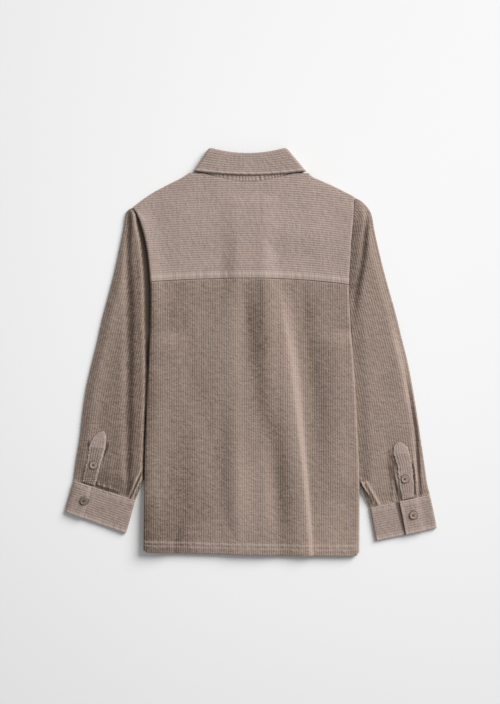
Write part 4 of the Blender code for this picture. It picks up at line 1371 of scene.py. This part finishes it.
def cuff_runs(cuff):
    """Round three sides of the cuff's lap, and along both edges of the rest."""
    flat = BAND + EASE + BAND + 0.15
    over_lap = flat + SEAM + BAND
    high, low = CUFF_STITCH_IN, CUFF_TALL - CUFF_STITCH_IN
    side, start = cuff.lap_end - CUFF_STITCH_IN, cuff.lap_end + 1
    end = math.dist(cuff.outer_top, cuff.inner_top) - 4
    runs = (
        ((6, high, over_lap), (side, high, over_lap), (side, low, over_lap), (6, low, over_lap)),
        ((start, high, flat), (end, high, flat)), ((start, low, flat), (end, low, flat)))
    return [np.array([(*cuff_plan(cuff, along, 1 - down / CUFF_TALL), height)
                      for along, down, height in run], float) for run in runs]


for side, word in ((-1, "left"), (1, "right")):
    runs = placket_runs(side) + cuff_runs(CUFFS[side])
    add_stitching("cuff_stitching_" + word, runs)

middle, out, half, relief = leaf
leaf_face = middle + out * (half + relief + 0.1)[..., None]
leaf_face[..., 2] = np.maximum(leaf_face[..., 2], THREAD / 2)
leaf_shares = np.linspace(0, 1, len(leaf_face))
leaf_row = int(np.argmin(np.abs(leaf_shares - (1 - LEAF_STITCH_IN / LEAF_TALL))))
add_stitching("collar_stitching", [leaf_face[leaf_row]])

# The buttons: four-hole shirt buttons of matt brown resin with a raised rim, each sewn
# on with a crossed thread. Six more close the front, face down under the shirt.

BUTTON_DEEP = 1.7
HOLE_WIDE = 1.7
HOLE_SPREAD = 3.3
# The thread's cross: two strands beside each other over each pair of holes
CROSS_HEIGHT = 1.35
CROSS_SHIFT = 0.28
CROSS_SIZE = (2.6, 0.34, 0.32, 1)
FRONT_BUTTON_TOP = 170.0
FRONT_BUTTON_PITCH = 78.0
# Section of the raised rim, from the plate's edge outward and round to the underside:
# distance from the middle and height over the underside
RIM = ((4.15, 1.15), (4.45, 1.5), (4.85, 1.7), (5.25, 1.65), (5.55, 1.4), (5.7, 1.0),
       (5.62, 0.55), (5.3, 0.25), (4.6, 0.1), (3.6, 0.0))


def button_resin(name, dark, light):
    material, shader, start = new_material(name, 0.42)
    swirl = object_noise(start, 420.0, 3.0, Distortion=1.5)
    colour_by(swirl, shader, (0.3, dark), (0.7, light))
    link(0.36 + swirl * 0.16, shader, "Roughness")
    return material


def add_button(name, place, low, resin, up=1):
    """A plate with four holes inside a raised rim, then the thread that crosses it."""
    bm = bmesh.new()
    plate_half, plate_deep = RIM[0]
    bmesh.ops.create_circle(bm, segments=44, radius=plate_half)
    for turn in (45, 135, 225, 315):
        angle = math.radians(turn)
        place_of_hole = [part * HOLE_SPREAD / 2 for part in (math.cos(angle), math.sin(angle), 0)]
        spot = Matrix.Translation(place_of_hole)
        bmesh.ops.create_circle(bm, segments=14, radius=HOLE_WIDE / 2, matrix=spot)
    bmesh.ops.triangle_fill(bm, edges=bm.edges[:], use_beauty=True)
    bmesh.ops.recalc_face_normals(bm, faces=bm.faces)
    plate = bmesh.ops.extrude_face_region(bm, geom=bm.faces[:])["geom"]
    plate = [part for part in plate if isinstance(part, bmesh.types.BMVert)]
    bmesh.ops.translate(bm, verts=plate, vec=(0, 0, plate_deep))
    rim = [bm.verts.new((radius, 0, height)) for radius, height in RIM]
    rim_edges = [bm.edges.new(pair) for pair in zip(rim, rim[1:])]
    bmesh.ops.spin(bm, geom=rim + rim_edges, cent=(0, 0, 0), axis=(0, 0, 1), angle=2 * math.pi,
                   steps=44, use_merge=True)
    bmesh.ops.recalc_face_normals(bm, faces=bm.faces)
    resin_faces = len(bm.faces)
    for turn in (45, 135):
        arm = Matrix.Rotation(math.radians(turn), 4, "Z")
        for shift in (-CROSS_SHIFT, CROSS_SHIFT):
            spot = Matrix.Translation((0, shift, CROSS_HEIGHT)) @ Matrix.Diagonal(CROSS_SIZE)
            bmesh.ops.create_uvsphere(bm, u_segments=10, v_segments=6, radius=1.0,
                                      matrix=arm @ spot)
    turn = Matrix.Rotation(0 if up > 0 else math.pi, 4, "X")
    lift = low if up > 0 else low + BUTTON_DEEP
    move = Matrix.Scale(MM, 4) @ Matrix.Translation((*place, lift)) @ turn
    bmesh.ops.transform(bm, matrix=move, verts=bm.verts)
    for face in list(bm.faces)[resin_faces:]:
        face.material_index = 1
    piece = finish_piece(name + "_resin", bm, resin)
    piece.data.materials.append(button_thread)
    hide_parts(name)


pale_resin = button_resin("pale matt button resin", (0.27, 0.20, 0.16), (0.39, 0.30, 0.25))
dark_resin = button_resin("dark matt button resin", (0.14, 0.105, 0.08), (0.25, 0.195, 0.155))
button_thread = button_resin("dark button thread", (0.05, 0.035, 0.027), (0.08, 0.06, 0.045))
for name, place in BUTTON_PLACES.items():
    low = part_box(name)[0].z / MM
    if name.startswith("placket"):
        strip = placket_base(-1 if name.endswith("left") else 1, *np.array(place)[:, None, None])
        low = max(low, strip.item() + STRIP + 0.3)
    add_button(name, place, low, dark_resin if name == "cuff_button_left" else pale_resin)
for number in range(6):
    place = (0.0, FRONT_BUTTON_TOP - FRONT_BUTTON_PITCH * number)
    add_button("front_button_%d" % (number + 1), place, 0.0, pale_resin, up=-1)
